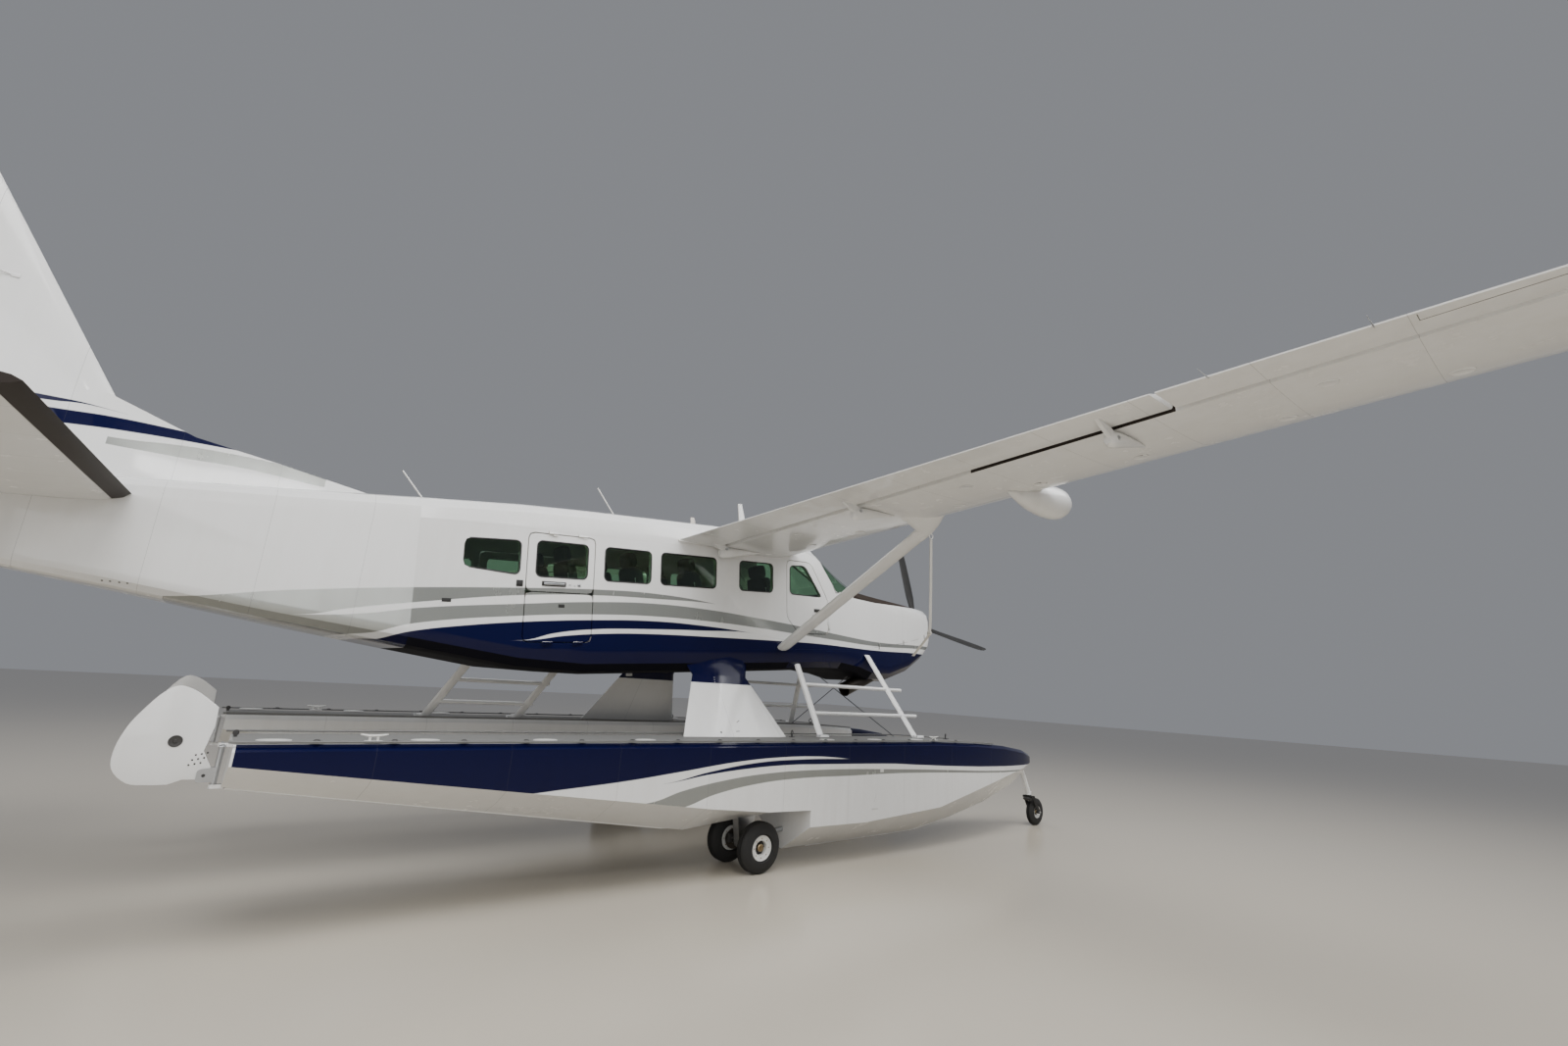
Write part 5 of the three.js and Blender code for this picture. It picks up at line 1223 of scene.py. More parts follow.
SEAT_PARTS = [
    ("cushion", foam((0.0, 0, SEAT_TOP - 0.035), (0.43, 0.40, 0.10), 0.014), 0.7),
    ("back", foam((0.0, 0, 0), (0.10, 0.40, 0.52), 0.014), 0.7),
    ("headrest", foam((0.0, 0, 0), (0.085, 0.26, 0.15), 0.012), 0.8),
]
LEAN = Matrix.Rotation(-0.2, 4, "Y")
laid(SEAT_PARTS[1][1], at(-0.265, 0, SEAT_TOP + 0.29, LEAN))
laid(SEAT_PARTS[2][1], at(-0.335, 0, SEAT_TOP + 0.625, LEAN))
seat_steel = seat_frame()
for row, u in enumerate(ROWS):
    for side_name, side in SIDES.items():
        spot = at(u, side * SEAT_V, 0)
        for label, pattern, fill in SEAT_PARTS:
            pad = settle(copy_of(pattern, spot), f"seat_{label}_{row}_{side_name}", SEAT, place=AIRFRAME, smooth=180,
                replaces=["cabin_interior"])
        settle(copy_of(seat_steel, spot), f"seat_frame_{row}_{side_name}", METAL, place=AIRFRAME,
            replaces=["cabin_interior"])
for _, pattern, _ in SEAT_PARTS:
    bpy.data.objects.remove(pattern)
bpy.data.objects.remove(seat_steel)
print("seats:", len(ROWS) * len(SIDES))

# %% [markdown]
# ## Cabin floor and flight deck
#
# The floor is a carpeted panel with seat rails. In front stands the instrument panel with a padded glareshield over
# it, two wide displays, round dials and a control wheel for each pilot. Bezels are inset and pushed in so that they
# have real depth behind the windshield.

# %% Cabin floor
CARPET = plain_noise_finish("floor carpet", (0.075, 0.072, 0.068, 1), (0.045, 0.043, 0.04, 1), 0.95, 500.0, 0.8)
PANEL_GREY = plain_noise_finish("panel grey", (0.045, 0.046, 0.05, 1), (0.03, 0.03, 0.033, 1), 0.6, 300.0, 0.2)
SCREEN = finish_of("display glass", Base_Color=(0.004, 0.006, 0.008, 1), Roughness=0.08)[0]


def floor_panel():
    panel = block((-5.3, 0, FLOOR_W - 0.007), (4.9, 1.18, 0.014), 0.003)
    rails = []
    for y in (-SEAT_V - 0.185, -SEAT_V + 0.185, SEAT_V - 0.185, SEAT_V + 0.185):
        rails.append(block((-5.2, y, FLOOR_W + 0.001), (3.4, 0.022, 0.004), 0.001))
    return panel, joined(rails)


carpet, rails = floor_panel()
settle(carpet, "cabin_carpet", CARPET, place=AIRFRAME, replaces=["cabin_interior"])
settle(rails, "seat_rails", METAL, place=AIRFRAME, replaces=["cabin_interior"])

# %% Instrument panel
PANEL_BACK = -2.91


def instrument_panel():
    panel = block((-2.855, 0, 0.915), (0.11, 1.12, 0.39), 0.02)
    pedestal = block((-2.9, 0, 0.68), (0.2, 0.22, 0.60), 0.02)
    return joined([panel, pedestal])


def glareshield():
    piece = block((-2.84, 0, 1.118), (0.2, 1.16, 0.03), 0.012)
    edit(piece)
    pick(lambda centre, normal: normal.x < -0.9)
    pull((-0.03, 0, 0.006), 0.98)
    done()
    return piece


def dial(y, w, radius):
    ring = turned([(-0.0, radius), (-0.008, radius), (-0.01, radius * 0.92), (-0.004, radius * 0.86), (-0.003, 0.0)],
        28)
    return laid(ring, at(PANEL_BACK, y, w))


def control_wheel(y):
    shaft = bar((PANEL_BACK - 0.001, y, 0.86), (PANEL_BACK - 0.14, y, 0.87), 0.013)
    bpy.ops.mesh.primitive_torus_add(location=(PANEL_BACK - 0.15, y, 0.87), rotation=(0, math.pi / 2, 0),
        major_radius=0.13, minor_radius=0.012, major_segments=36, minor_segments=10)
    rim_ring = bpy.context.object
    bake_place(rim_ring)
    edit(rim_ring)
    pick(lambda centre, normal: centre.z > 0.93)
    bpy.ops.mesh.delete(type="FACE")
    done()
    hub = block((PANEL_BACK - 0.15, y, 0.865), (0.03, 0.2, 0.035), 0.01)
    return joined([shaft, rim_ring, hub])


settle(instrument_panel(), "instrument_panel", PANEL_GREY, place=AIRFRAME, replaces=["cabin_interior"])
settle(glareshield(), "glareshield", RUBBER, place=AIRFRAME)
dials = [dial(y, w, 0.038) for y in (-0.44, -0.34, 0.34, 0.44) for w in (0.86, 0.98)]
dials.append(dial(0.0, 0.86, 0.03))
settle(joined(dials), "panel_dials", BLACK, place=AIRFRAME)
screens = [block((PANEL_BACK - 0.002, y, 0.95), (0.012, 0.22, 0.15), 0.003) for y in (-0.15, 0.15)]
settle(joined(screens), "panel_displays", SCREEN, place=AIRFRAME)
settle(joined([control_wheel(y) for y in (-0.34, 0.34)]), "control_wheels", BLACK, place=AIRFRAME)
print("flight deck placed")

# %% [markdown]
# ## Under the wing
#
# The flaps hang on three brackets a side. Each bracket is hidden by a white pod that starts in a point under the
# wing, swells and ends bluntly at the flap, with a pin through it on the flap's axis. A pod is a circle that is
# extruded ring by ring and resized at each. The wing's own underside is a formula, so that pods and other fittings
# can be set against it.

# %% The wing's surface
WING = [
    # v, leading edge u, trailing edge u, leading edge w, trailing edge w, thickness ratio
    (0.83, -3.905, -5.614, 1.602, 1.553, 0.165), (4.3, -3.99, -5.474, 1.778, 1.73, 0.145),
    (7.7, -4.073, -5.33, 1.948, 1.903, 0.12), (7.88, -4.2, -5.3, 1.962, 1.915, 0.09),
    (7.94, -4.42, -5.23, 1.958, 1.92, 0.045),
]


def wing_at(v):
    for a, b in zip(WING, WING[1:]):
        if v <= b[0]:
            break
    share = (v - a[0]) / (b[0] - a[0])
    return [p + (q - p) * share for p, q in zip(a, b)][1:]


def wing_surface(u, v, sign):
    """The height w of the wing's upper (1) or lower (-1) skin."""
    lead, trail, lead_w, trail_w, thick = wing_at(v)
    chord = lead - trail
    x = min(max((lead - u) / chord, 0.001), 1)
    half = 5 * thick * (0.2969 * math.sqrt(x) - 0.126 * x - 0.3516 * x ** 2 + 0.2843 * x ** 3 - 0.0985 * x ** 4)
    camber = 0.08 * x * (1 - x) * (1.3 - 0.6 * x)
    return lead_w + (trail_w - lead_w) * x + chord * (camber + sign * (half + 0.001))


def lofted(rings, sides, turn):
    """A circle, turned and then extruded through rings. A ring is its middle and its size along each axis."""
    bpy.ops.mesh.primitive_circle_add(vertices=sides, radius=1, fill_type="NGON", rotation=turn)
    piece = bpy.context.object
    bake_place(piece)
    edit(piece, take="SELECT")
    bpy.ops.transform.resize(value=rings[0][1])
    bpy.ops.transform.translate(value=rings[0][0])
    for (m0, s0), (m1, s1) in zip(rings, rings[1:]):
        pull(Vector(m1) - Vector(m0))
        bpy.ops.transform.resize(value=[b / a for a, b in zip(s0, s1)], center_override=tuple(m1))
    tidy_mesh()
    return piece


def spindle(stations, sides=16):
    """A round-sided body along u. A station holds u, the middle's w, the half width and the half height."""
    return lofted([((u, 0, w), (1, width, height)) for u, w, width, height in stations], sides, (0, math.pi / 2, 0))


# %% Flap pods
FLAP_BRACKETS = [0.96, 3.04, 5.33]
FLAP_HINGE_U = -5.09
# the flap axis's height at the middle line, and its rise along the span
FLAP_AXIS = (1.435, 0.0483)
POD_SHAPE = [
    # distance ahead of the hinge, drop below the skin, half width, half height
    (0.50, 0.004, 0.003, 0.003), (0.44, 0.010, 0.014, 0.012), (0.34, 0.022, 0.028, 0.024), (0.2, 0.038, 0.038, 0.040),
    (0.08, 0.056, 0.042, 0.054), (0.0, 0.070, 0.042, 0.058), (-0.05, 0.078, 0.038, 0.052),
    (-0.075, 0.080, 0.026, 0.036),
]


def flap_pod(v, side):
    stations = [(FLAP_HINGE_U + ahead, wing_surface(FLAP_HINGE_U + max(ahead, 0.02), v, -1) - drop, width, height)
        for ahead, drop, width, height in POD_SHAPE]
    pod = laid(spindle(stations), at(0, side * v, 0))
    pivot_w = FLAP_AXIS[0] + FLAP_AXIS[1] * v
    bolt = bar((FLAP_HINGE_U, side * v - 0.050, pivot_w), (FLAP_HINGE_U, side * v + 0.050, pivot_w), 0.009, 6)
    washer = bar((FLAP_HINGE_U, side * v - 0.046, pivot_w), (FLAP_HINGE_U, side * v + 0.046, pivot_w), 0.015, 20)
    return pod, joined([bolt, washer])


for side_name, side in SIDES.items():
    pods, pivots = zip(*[flap_pod(v, side) for v in FLAP_BRACKETS])
    settle(joined(list(pods)), f"flap_pods_{side_name}", WING_PAINT, place=AIRFRAME, smooth=50)
    settle(joined(list(pivots)), f"flap_pivots_{side_name}", METAL, place=AIRFRAME)
print("flap pods placed")

# %% [markdown]
# ## Strut heads
#
# Where the strut meets the wing, a thin triangular fairing covers the joint. It lies in the strut's own plane, so it
# is a flat ring that is extruded along the strut and spread backwards until it reaches the wing's skin. The mooring
# ring hangs under its front edge.

# %% Strut fairings
STRUT_FOOT, STRUT_TOP = Vector((-4.11, 0.816, 0.4)), Vector((-3.985, 2.905, 1.546))
STRUT_HEAD = [
    # share of the strut's length, aft edge, front edge, half thickness
    (0.955, -4.106, -3.868, 0.046), (0.965, -4.108, -3.866, 0.049), (1.0, -4.108, -3.864, 0.049),
    (1.012, -4.175, -3.867, 0.049), (1.03, -4.30, -3.874, 0.049), (1.055, -4.478, -3.886, 0.048),
    (1.075, -4.49, -3.91, 0.047), (1.10, -4.493, -3.94, 0.046), (1.138, -4.496, -3.982, 0.044),
]


def strut_head(side):
    """A flat cuff round the strut's end, which spreads to the wing's skin and runs on into the wing."""
    rings = []
    for share, aft, front, half in STRUT_HEAD:
        _, v, w = STRUT_FOOT.lerp(STRUT_TOP, share)
        rings.append((((aft + front) / 2, v, w), ((front - aft) / 2, 1, half)))
    piece = lofted(rings, 36, (math.pi / 2, 0, 0))
    if side < 0:
        piece.data.transform(FLIP)
        piece.data.flip_normals()
    return piece


for side_name, side in SIDES.items():
    settle(strut_head(side), f"strut_head_{side_name}", STRUT_PAINT, place=AIRFRAME, smooth=40)

# %% [markdown]
# ## Wing tips and trailing edges
#
# Small things make a wing look real: a red and a green light in the tips, static wicks at the trailing edges, and
# inspection covers underneath. Each has one function that makes it, called for every place.

# %% Wing fittings
RED_LENS = finish_of("red lens", Base_Color=(0.55, 0.01, 0.01, 1), Roughness=0.08, Coat_Weight=1.0)[0]
GREEN_LENS = finish_of("green lens", Base_Color=(0.01, 0.35, 0.08, 1), Roughness=0.08, Coat_Weight=1.0)[0]


def tip_light(side):
    """A teardrop lens on the tip's leading edge."""
    v = 7.86
    lead = wing_at(v)[0]
    w = (wing_surface(lead - 0.1, v, 1) + wing_surface(lead - 0.1, v, -1)) / 2
    lens = spindle([(lead - 0.30, w, 0.006, 0.006), (lead - 0.24, w, 0.020, 0.018), (lead - 0.16, w, 0.030, 0.026),
        (lead - 0.10, w, 0.030, 0.027), (lead - 0.06, w, 0.022, 0.020), (lead - 0.04, w, 0.008, 0.008)], 20)
    return laid(lens, at(0, side * (v + 0.03), 0))


def static_wick(u, v, w, back=0.14):
    stem = bar((u + 0.02, v, w), (u - 0.03, v, w), 0.0042, 8)
    thread = bar((u - 0.03, v, w), (u - back, v, w + 0.006), 0.0022, 6, 0.0016)
    return joined([stem, thread])


def cover_plate(u, v):
    """A round inspection cover under the wing, with its rim pressed up."""
    w, radius = wing_surface(u, abs(v), -1), 0.055
    plate = turned([(0.002, radius), (-0.0025, radius), (-0.0045, radius * 0.9), (-0.003, radius * 0.8), (-0.003, 0)],
        28)
    return laid(plate, at(u, v, w, Matrix.Rotation(-math.pi / 2, 4, "Y")))


AILERON_WICKS = [6.0, 6.7, 7.4]
COVERS = [(-4.35, 1.6), (-4.35, 2.35), (-4.35, 3.6), (-4.35, 4.4), (-4.35, 5.2), (-4.35, 6.1), (-4.35, 6.9),
    (-4.8, 1.9), (-4.8, 4.0), (-4.8, 6.4)]
for side_name, side in SIDES.items():
    lens = RED_LENS if side > 0 else GREEN_LENS
    settle(tip_light(side), f"tip_light_{side_name}", lens, place=AIRFRAME)
    wicks = [static_wick(wing_at(v)[1] + 0.004, side * v, wing_at(v)[3]) for v in AILERON_WICKS]
    settle(joined(wicks), f"aileron_wicks_{side_name}", METAL, f"aileron_{side_name}", AIRFRAME)
    covers = [cover_plate(u, side * v) for u, v in COVERS]
    settle(joined(covers), f"wing_covers_{side_name}", WING_PAINT, place=AIRFRAME)
print("wing fittings placed")

# %% [markdown]
# ## Float decks
#
# A thin rub rail runs along both edges of each deck. Dark hold-down fittings stand every 45 cm along the outer edge,
# with oval pump-out covers between them, and a white mooring cleat near the stern and near the bow. The fittings
# repeat, so one is modelled and the others are copies, and the second float is a mirrored copy of the first.

# %% Deck helpers
DECK_LINE = [(-3.5, 1.776, 1.237), (0.4, 1.79, 1.237), (3.0, 1.789, 1.236), (3.5, 1.788, 1.234), (4.0, 1.775, 1.219),
    (4.6, 1.72, 1.189), (5.1, 1.66, 1.146)]
RAIL_GREY = plain_noise_finish("rail grey", (0.16, 0.16, 0.155, 1), (0.11, 0.11, 0.105, 1), 0.55, 120.0, 0.15)
COVER_PAINT = plain_noise_finish("cover paint", (0.62, 0.62, 0.60, 1), (0.5, 0.5, 0.48, 1), 0.4, 120.0, 0.15)


def on_line(x, line):
    """The other values of a line of points, at x."""
    for a, b in zip(line, line[1:]):
        if x <= b[0]:
            break
    share = (x - a[0]) / (b[0] - a[0])
    return [p + (q - p) * share for p, q in zip(a[1:], b[1:])]


def rod_along(points, radius, sides=8):
    """A round rod that follows a few points."""
    points = [Vector(p) for p in points]
    turn = (points[1] - points[0]).to_track_quat("Z", "Y").to_euler()
    bpy.ops.mesh.primitive_circle_add(vertices=sides, radius=radius, fill_type="NGON", location=points[0],
        rotation=turn)
    piece = bpy.context.object
    bake_place(piece)
    edit(piece, take="SELECT")
    for a, b in zip(points, points[1:]):
        pull(b - a)
    tidy_mesh()
    return piece


def dome(radius, height, sides=12):
    """A low round head, such as a rivet's, on the ground at the origin."""
    return turned_up([(0, radius), (height * 0.5, radius * 0.9), (height * 0.85, radius * 0.6), (height, 0.0)], sides)


def turned_up(profile, steps=24):
    """A turned piece whose axis is Z."""
    return laid(turned(profile, steps), Matrix.Rotation(-math.pi / 2, 4, "Y"))


def copies(pattern, places):
    """Copies of a pattern at each matrix, joined. The pattern is used up."""
    made = [copy_of(pattern, place) for place in places]
    bpy.data.objects.remove(pattern)
    return joined(made)


def towards(point, normal):
    """A place on a surface, with Z along the surface's normal."""
    return at(*point, Vector(normal).to_track_quat("Z", "Y").to_matrix().to_4x4())


def both_floats(piece, name, material, body="airframe"):
    """Settles a piece of the right float and its mirrored copy on the left one. A body name may hold {}."""
    twin = copy_of(piece, FLIP)
    settle(piece, f"{name}_right", material, body.format("right"))
    settle(twin, f"{name}_left", material, body.format("left"))


# %% Rub rails and deck fittings
def rub_rail(inboard):
    line = []
    for x in (-3.5, -2.2, -0.9, 0.4, 1.7, 3.0, 3.5, 4.0, 4.6):
        half, z = on_line(x, DECK_LINE)
        y = half - 0.012 if not inboard else 2 * FLOAT_MIDDLE - half + 0.012
        line.append((x, -y, z + 0.003))
    return rod_along(line, 0.0075)


def cleat():
    """A base plate, two legs and a long horn with raised ends."""
    base = block((0, 0, 0.003), (0.11, 0.045, 0.007), 0.003)
    legs = [bar((x, 0, 0.004), (x, 0, 0.034), 0.0085) for x in (-0.024, 0.024)]
    horn = spindle([(-0.085, 0.046, 0.004, 0.003), (-0.07, 0.043, 0.008, 0.007), (-0.03, 0.037, 0.011, 0.009),
        (0.03, 0.037, 0.011, 0.009), (0.07, 0.043, 0.008, 0.007), (0.085, 0.046, 0.004, 0.003)], 12)
    return joined([base, *legs, horn])


def deck_fitting():
    """A low dark half round on a foot plate with two bolts."""
    foot = block((0, 0, 0.002), (0.075, 0.03, 0.005), 0.0015)
    body = dome(0.024, 0.019, 20)
    bolts = [bar((x, 0, 0.003), (x, 0, 0.0085), 0.005, 6) for x in (-0.031, 0.031)]
    return joined([foot, body, *bolts])


def oval_cover():
    """An oval pump-out cover with a pressed rim and a recessed plug."""
    piece = turned_up([(0, 0.062), (0.005, 0.062), (0.007, 0.057), (0.007, 0.04), (0.005, 0.036), (0.005, 0.016),
        (0.003, 0.013), (0.003, 0)], 36)
    return laid(piece, Matrix.Scale(1.55, 4, (1, 0, 0)))


FITTING_X = [-3.05 + 0.453 * i for i in range(16)]
both_floats(joined([rub_rail(False), rub_rail(True)]), "deck_rails", RAIL_GREY)
spots = [at(x, -on_line(x, DECK_LINE)[0] + 0.045, on_line(x, DECK_LINE)[1]) for x in FITTING_X]
both_floats(copies(deck_fitting(), spots), "deck_fittings", MATT_DARK)
covers = [at(x, -1.635, 1.2375) for x in (-3.27, -2.38, -1.5, -0.6, 1.6, 2.35, 3.1)]
both_floats(copies(oval_cover(), covers), "deck_covers", COVER_PAINT)
both_floats(copies(cleat(), [at(-2.72, -1.70, 1.2375), at(3.35, -1.70, 1.236)]), "cleats", RIM_WHITE)
print("deck fittings placed")

# %% [markdown]
# ## Hull details
#
# A white strip covers the keel before and behind the step. On the hull's side are two blank plates where
# the real float has its labels. The rivet row, the two slots and the tie-down ring on the pylon's outer side were
# found in the photograph. The rivets and slots are set on the surface by casting a ray at the solid, and the rings
# stand on the deck.

# %% Keel strips and plates
KEEL_FORE = [(1.62, 0.135), (2.8, 0.148), (3.4, 0.162), (4.0, 0.244), (4.6, 0.351), (5.2, 0.499), (5.6, 0.631),
    (5.9, 0.780)]
KEEL_AFT = [(-3.45, 0.924), (-2.6, 0.798), (-1.4, 0.621), (-0.2, 0.444), (0.1, 0.425)]
keels = [rod_along([(x, -FLOAT_MIDDLE, z) for x, z in line], 0.014) for line in (KEEL_FORE, KEEL_AFT)]
both_floats(joined(keels), "keel_strips", STRUT_PAINT)
plates = [block((2.32, -1.7905, 0.924), (0.055, 0.003, 0.035), 0.001),
    block((2.22, -1.7905, 0.53), (0.10, 0.003, 0.018), 0.001),
    bar((2.205, -1.7905, 0.60), (2.235, -1.7905, 0.68), 0.0025, 8)]
both_floats(joined(plates), "hull_plates", COVER_PAINT)


def on_pylon(x, z):
    """A place on the right pylon's outer side, or none beside it."""
    found, point, normal, _ = nodes["float_pylon_right"].ray_cast(Vector((x, -2.5, z)), Vector((0, 1, 0)))
    return towards(point, normal) if found else None


# %% Pylon details
def pylon_rows():
    """One row of rivets up the pylon's side, and one along its foot."""
    upright = [(0.46 + 0.006125 * i, 1.26 + 0.0245 * i) for i in range(24)]
    level = [(0.08 + 0.055 * i, 1.275) for i in range(22)]
    return [place for place in (on_pylon(x, z) for x, z in upright + level) if place]


def slot_at(x, z, turn):
    piece = block((0, 0, 0), (0.045, 0.007, 0.004), 0.001)
    return laid(piece, on_pylon(x, z) @ Matrix.Rotation(turn, 4, "Z"))


both_floats(copies(dome(0.0042, 0.0022, 8), pylon_rows()), "pylon_rivets", STRUT_PAINT)
drain = laid(dome(0.011, 0.004, 16), on_pylon(0.482, 1.277))
both_floats(joined([slot_at(0.728, 1.383, 0.5), slot_at(0.689, 1.288, 0.1), drain]), "pylon_slots", MATT_DARK)


def tie_ring(x, y, z):
    """A dark ring that stands on the deck, through an eye bolt."""
    bpy.ops.mesh.primitive_torus_add(location=(x, y, z + 0.045), rotation=(math.pi / 2, 0, 0.5), major_radius=0.026,
        minor_radius=0.0055, major_segments=28, minor_segments=10)
    ring = bpy.context.object
    bake_place(ring)
    foot = block((x, y, z + 0.003), (0.06, 0.03, 0.007), 0.002)
    eye = bar((x, y, z + 0.004), (x, y, z + 0.024), 0.0085)
    return joined([ring, foot, eye])


both_floats(joined([tie_ring(1.388, -1.297, 1.2365), tie_ring(4.05, -1.346, 1.217)]), "tie_rings", MATT_DARK)

# %% [markdown]
# ## Struts
#
# The round ends of the struts stand in cast sockets, each with two bolts through it. A socket is a bevelled box
# that is narrower on top.

# %% Strut sockets
STRUT_FEET = {"front_struts": [(1.861, -1.29), (3.561, -1.29)], "ladder": [(-1.819, 1.13), (-0.839, 1.13)]}


def socket(x, y, z):
    body = block((x, y, z + 0.014), (0.15, 0.075, 0.028))
    edit(body)
    pick(lambda centre, facing: facing.z > 0.9)
    bpy.ops.transform.resize(value=(0.84, 0.78, 1), center_override=(x, y, z + 0.028))
    done()
    round_edges(body, 0.005)
    return body


def socket_bolts(x, y, z):
    return [bar((x + dx, y + dy, z + 0.012), (x + dx, y + dy, z + 0.026), 0.0075, 6) for dx in (-0.066, 0.066)
        for dy in (-0.028, 0.028)]


def deck_height(x):
    return on_line(x, DECK_LINE)[1]


both_floats(joined([socket(x, y, deck_height(x)) for x, y in STRUT_FEET["front_struts"]]), "strut_sockets", STRUT_PAINT)
both_floats(joined([b for x, y in STRUT_FEET["front_struts"] for b in socket_bolts(x, y, deck_height(x))]),
    "strut_socket_bolts", METAL)
settle(joined([socket(x, y, 1.237) for x, y in STRUT_FEET["ladder"]]), "ladder_sockets", STRUT_PAINT)
settle(joined([b for x, y in STRUT_FEET["ladder"] for b in socket_bolts(x, y, 1.237)]), "ladder_socket_bolts", METAL)
print("struts dressed")

# %% [markdown]
# ## Water rudders
#
# The lifted water rudder is a white plate like a rounded axe head. Its outline is a handful of points with a smooth
# curve through its round side and straight lines round its foot. The plate gets soft edges, a dark hub disc, a
# cluster of rivets over the foot and a pivot bolt. The post behind the stern carries hinge brackets and the lifting
# cable's pulley.

# %% Water rudder blades
BLADE_ROUND = [(-3.579, 1.42), (-3.70, 1.512), (-3.799, 1.546), (-3.869, 1.50), (-3.94, 1.395), (-3.989, 1.30),
    (-4.022, 1.17), (-4.012, 1.05), (-3.929, 0.965), (-3.83, 0.951), (-3.739, 0.950)]
BLADE_FOOT = [(-3.674, 0.977), (-3.563, 0.974), (-3.541, 0.988), (-3.541, 1.04), (-3.601, 1.15), (-3.574, 1.30)]
BLADE_HALF = 0.007


def water_blade():
    outline = [(p.x, p.z) for p in smooth_route([(x, 0, z) for x, z in BLADE_ROUND], 4)] + BLADE_FOOT
    bpy.ops.mesh.primitive_circle_add(vertices=len(outline), radius=1, fill_type="NGON")
    plate = bpy.context.object
    for vertex, (x, z) in zip(plate.data.vertices, outline):
        vertex.co = (x, -FLOAT_MIDDLE - BLADE_HALF, z)
    edit(plate, take="SELECT")
    pull((0, 2 * BLADE_HALF, 0))
    tidy_mesh()
    round_edges(plate, 0.0035, 3, 50)
    return plate


def on_blade(pattern, x, z):
    """The same piece on both faces of the blade."""
    out = at(x, -FLOAT_MIDDLE - BLADE_HALF, z, Matrix.Rotation(math.pi / 2, 4, "X"))
    back = at(x, -FLOAT_MIDDLE + BLADE_HALF, z, Matrix.Rotation(-math.pi / 2, 4, "X"))
    return [copy_of(pattern, out), copy_of(pattern, back)]


plate = water_blade()
twin = copy_of(plate, FLIP)
settle(plate, "water_blade_right", STRUT_PAINT, "water_rudder_right", replaces=["water_rudder_right"])
settle(twin, "water_blade_left", STRUT_PAINT, "water_rudder_left", replaces=["water_rudder_left"])
hub_disc = turned_up([(0, 0.036), (0.003, 0.036), (0.004, 0.032), (0.002, 0.028), (0.002, 0.012), (0.005, 0.010),
    (0.005, 0)], 32)
hub_pieces = on_blade(hub_disc, -3.751, 1.209)
bolt_head = dome(0.0055, 0.004, 10)
for i in range(3):
    for j in range(3):
        hub_pieces += on_blade(bolt_head, -3.635 + 0.028 * i - 0.012 * j, 1.125 - 0.03 * j + 0.006 * i)
hub_pieces.append(bar((-3.574, -FLOAT_MIDDLE - 0.019, 1.0), (-3.574, -FLOAT_MIDDLE + 0.019, 1.0), 0.011, 6))
bpy.data.objects.remove(hub_disc)
bpy.data.objects.remove(bolt_head)
both_floats(joined(hub_pieces), "water_blade_fittings", MATT_DARK, body="water_rudder_{}")


# %% Stern fittings
def steering_arm():
    """A steering arm with two cable eyes on top of the post."""
    arm = block((-3.514, -FLOAT_MIDDLE, 1.183), (0.035, 0.20, 0.010), 0.003)
    eyes = [bar((-3.514, -FLOAT_MIDDLE + y, 1.176), (-3.514, -FLOAT_MIDDLE + y, 1.198), 0.008) for y in (-0.088, 0.088)]
    return joined([arm, *eyes])


def lift_pulley():
    wheel = turned([(-0.006, 0.006), (-0.006, 0.018), (-0.002, 0.014), (0.002, 0.014), (0.006, 0.018), (0.006, 0.006)],
        28)
    wheel.data.transform(at(-3.46, -FLOAT_MIDDLE, 1.262, TO_Y))
    fork = [block((-3.46, -FLOAT_MIDDLE + y, 1.253), (0.018, 0.004, 0.034), 0.001) for y in (-0.011, 0.011)]
    pin = bar((-3.46, -FLOAT_MIDDLE - 0.015, 1.262), (-3.46, -FLOAT_MIDDLE + 0.015, 1.262), 0.005, 8)
    return joined([wheel, *fork, pin])


both_floats(steering_arm(), "steering_arm", METAL, body="water_rudder_post_{}")
both_floats(lift_pulley(), "lift_pulley", MATT_DARK)
print("water rudders placed")

# %% [markdown]
# ## Brakes and nose gear
#
# A brake disc turns with each main wheel and a caliper grips it from the leg. On the nose fork sit a shimmy damper
# and an axle nut.

# %% Brakes
def brake_disc(offset):
    disc = turned([(-0.005, 0.04), (-0.005, 0.098), (0.005, 0.098), (0.005, 0.04), (-0.005, 0.04)], 40)
    return laid(disc, at(MAIN["x"], -TRACK + offset, MAIN["z"], TO_Y))


def caliper(way):
    x, y, z = MAIN["x"] - 0.075, -TRACK + way * 0.118, MAIN["z"]
    body = block((x, y, z + 0.02), (0.06, 0.042, 0.085), 0.010)
    pistons = [bar((x, y - 0.02 * way, z + up), (x, y + 0.026 * way, z + up), 0.014) for up in (0.0, 0.04)]
    arm = bar((x + 0.015, -TRACK + way * 0.03, z + 0.02), (x, y, z + 0.02), 0.012)
    return [body, *pistons, arm]


both_floats(joined([brake_disc(-0.158), brake_disc(0.158)]), "brake_discs", ENGINE, body="main_wheels_{}")
both_floats(joined(caliper(-1) + caliper(1)), "brake_calipers", MATT_DARK)

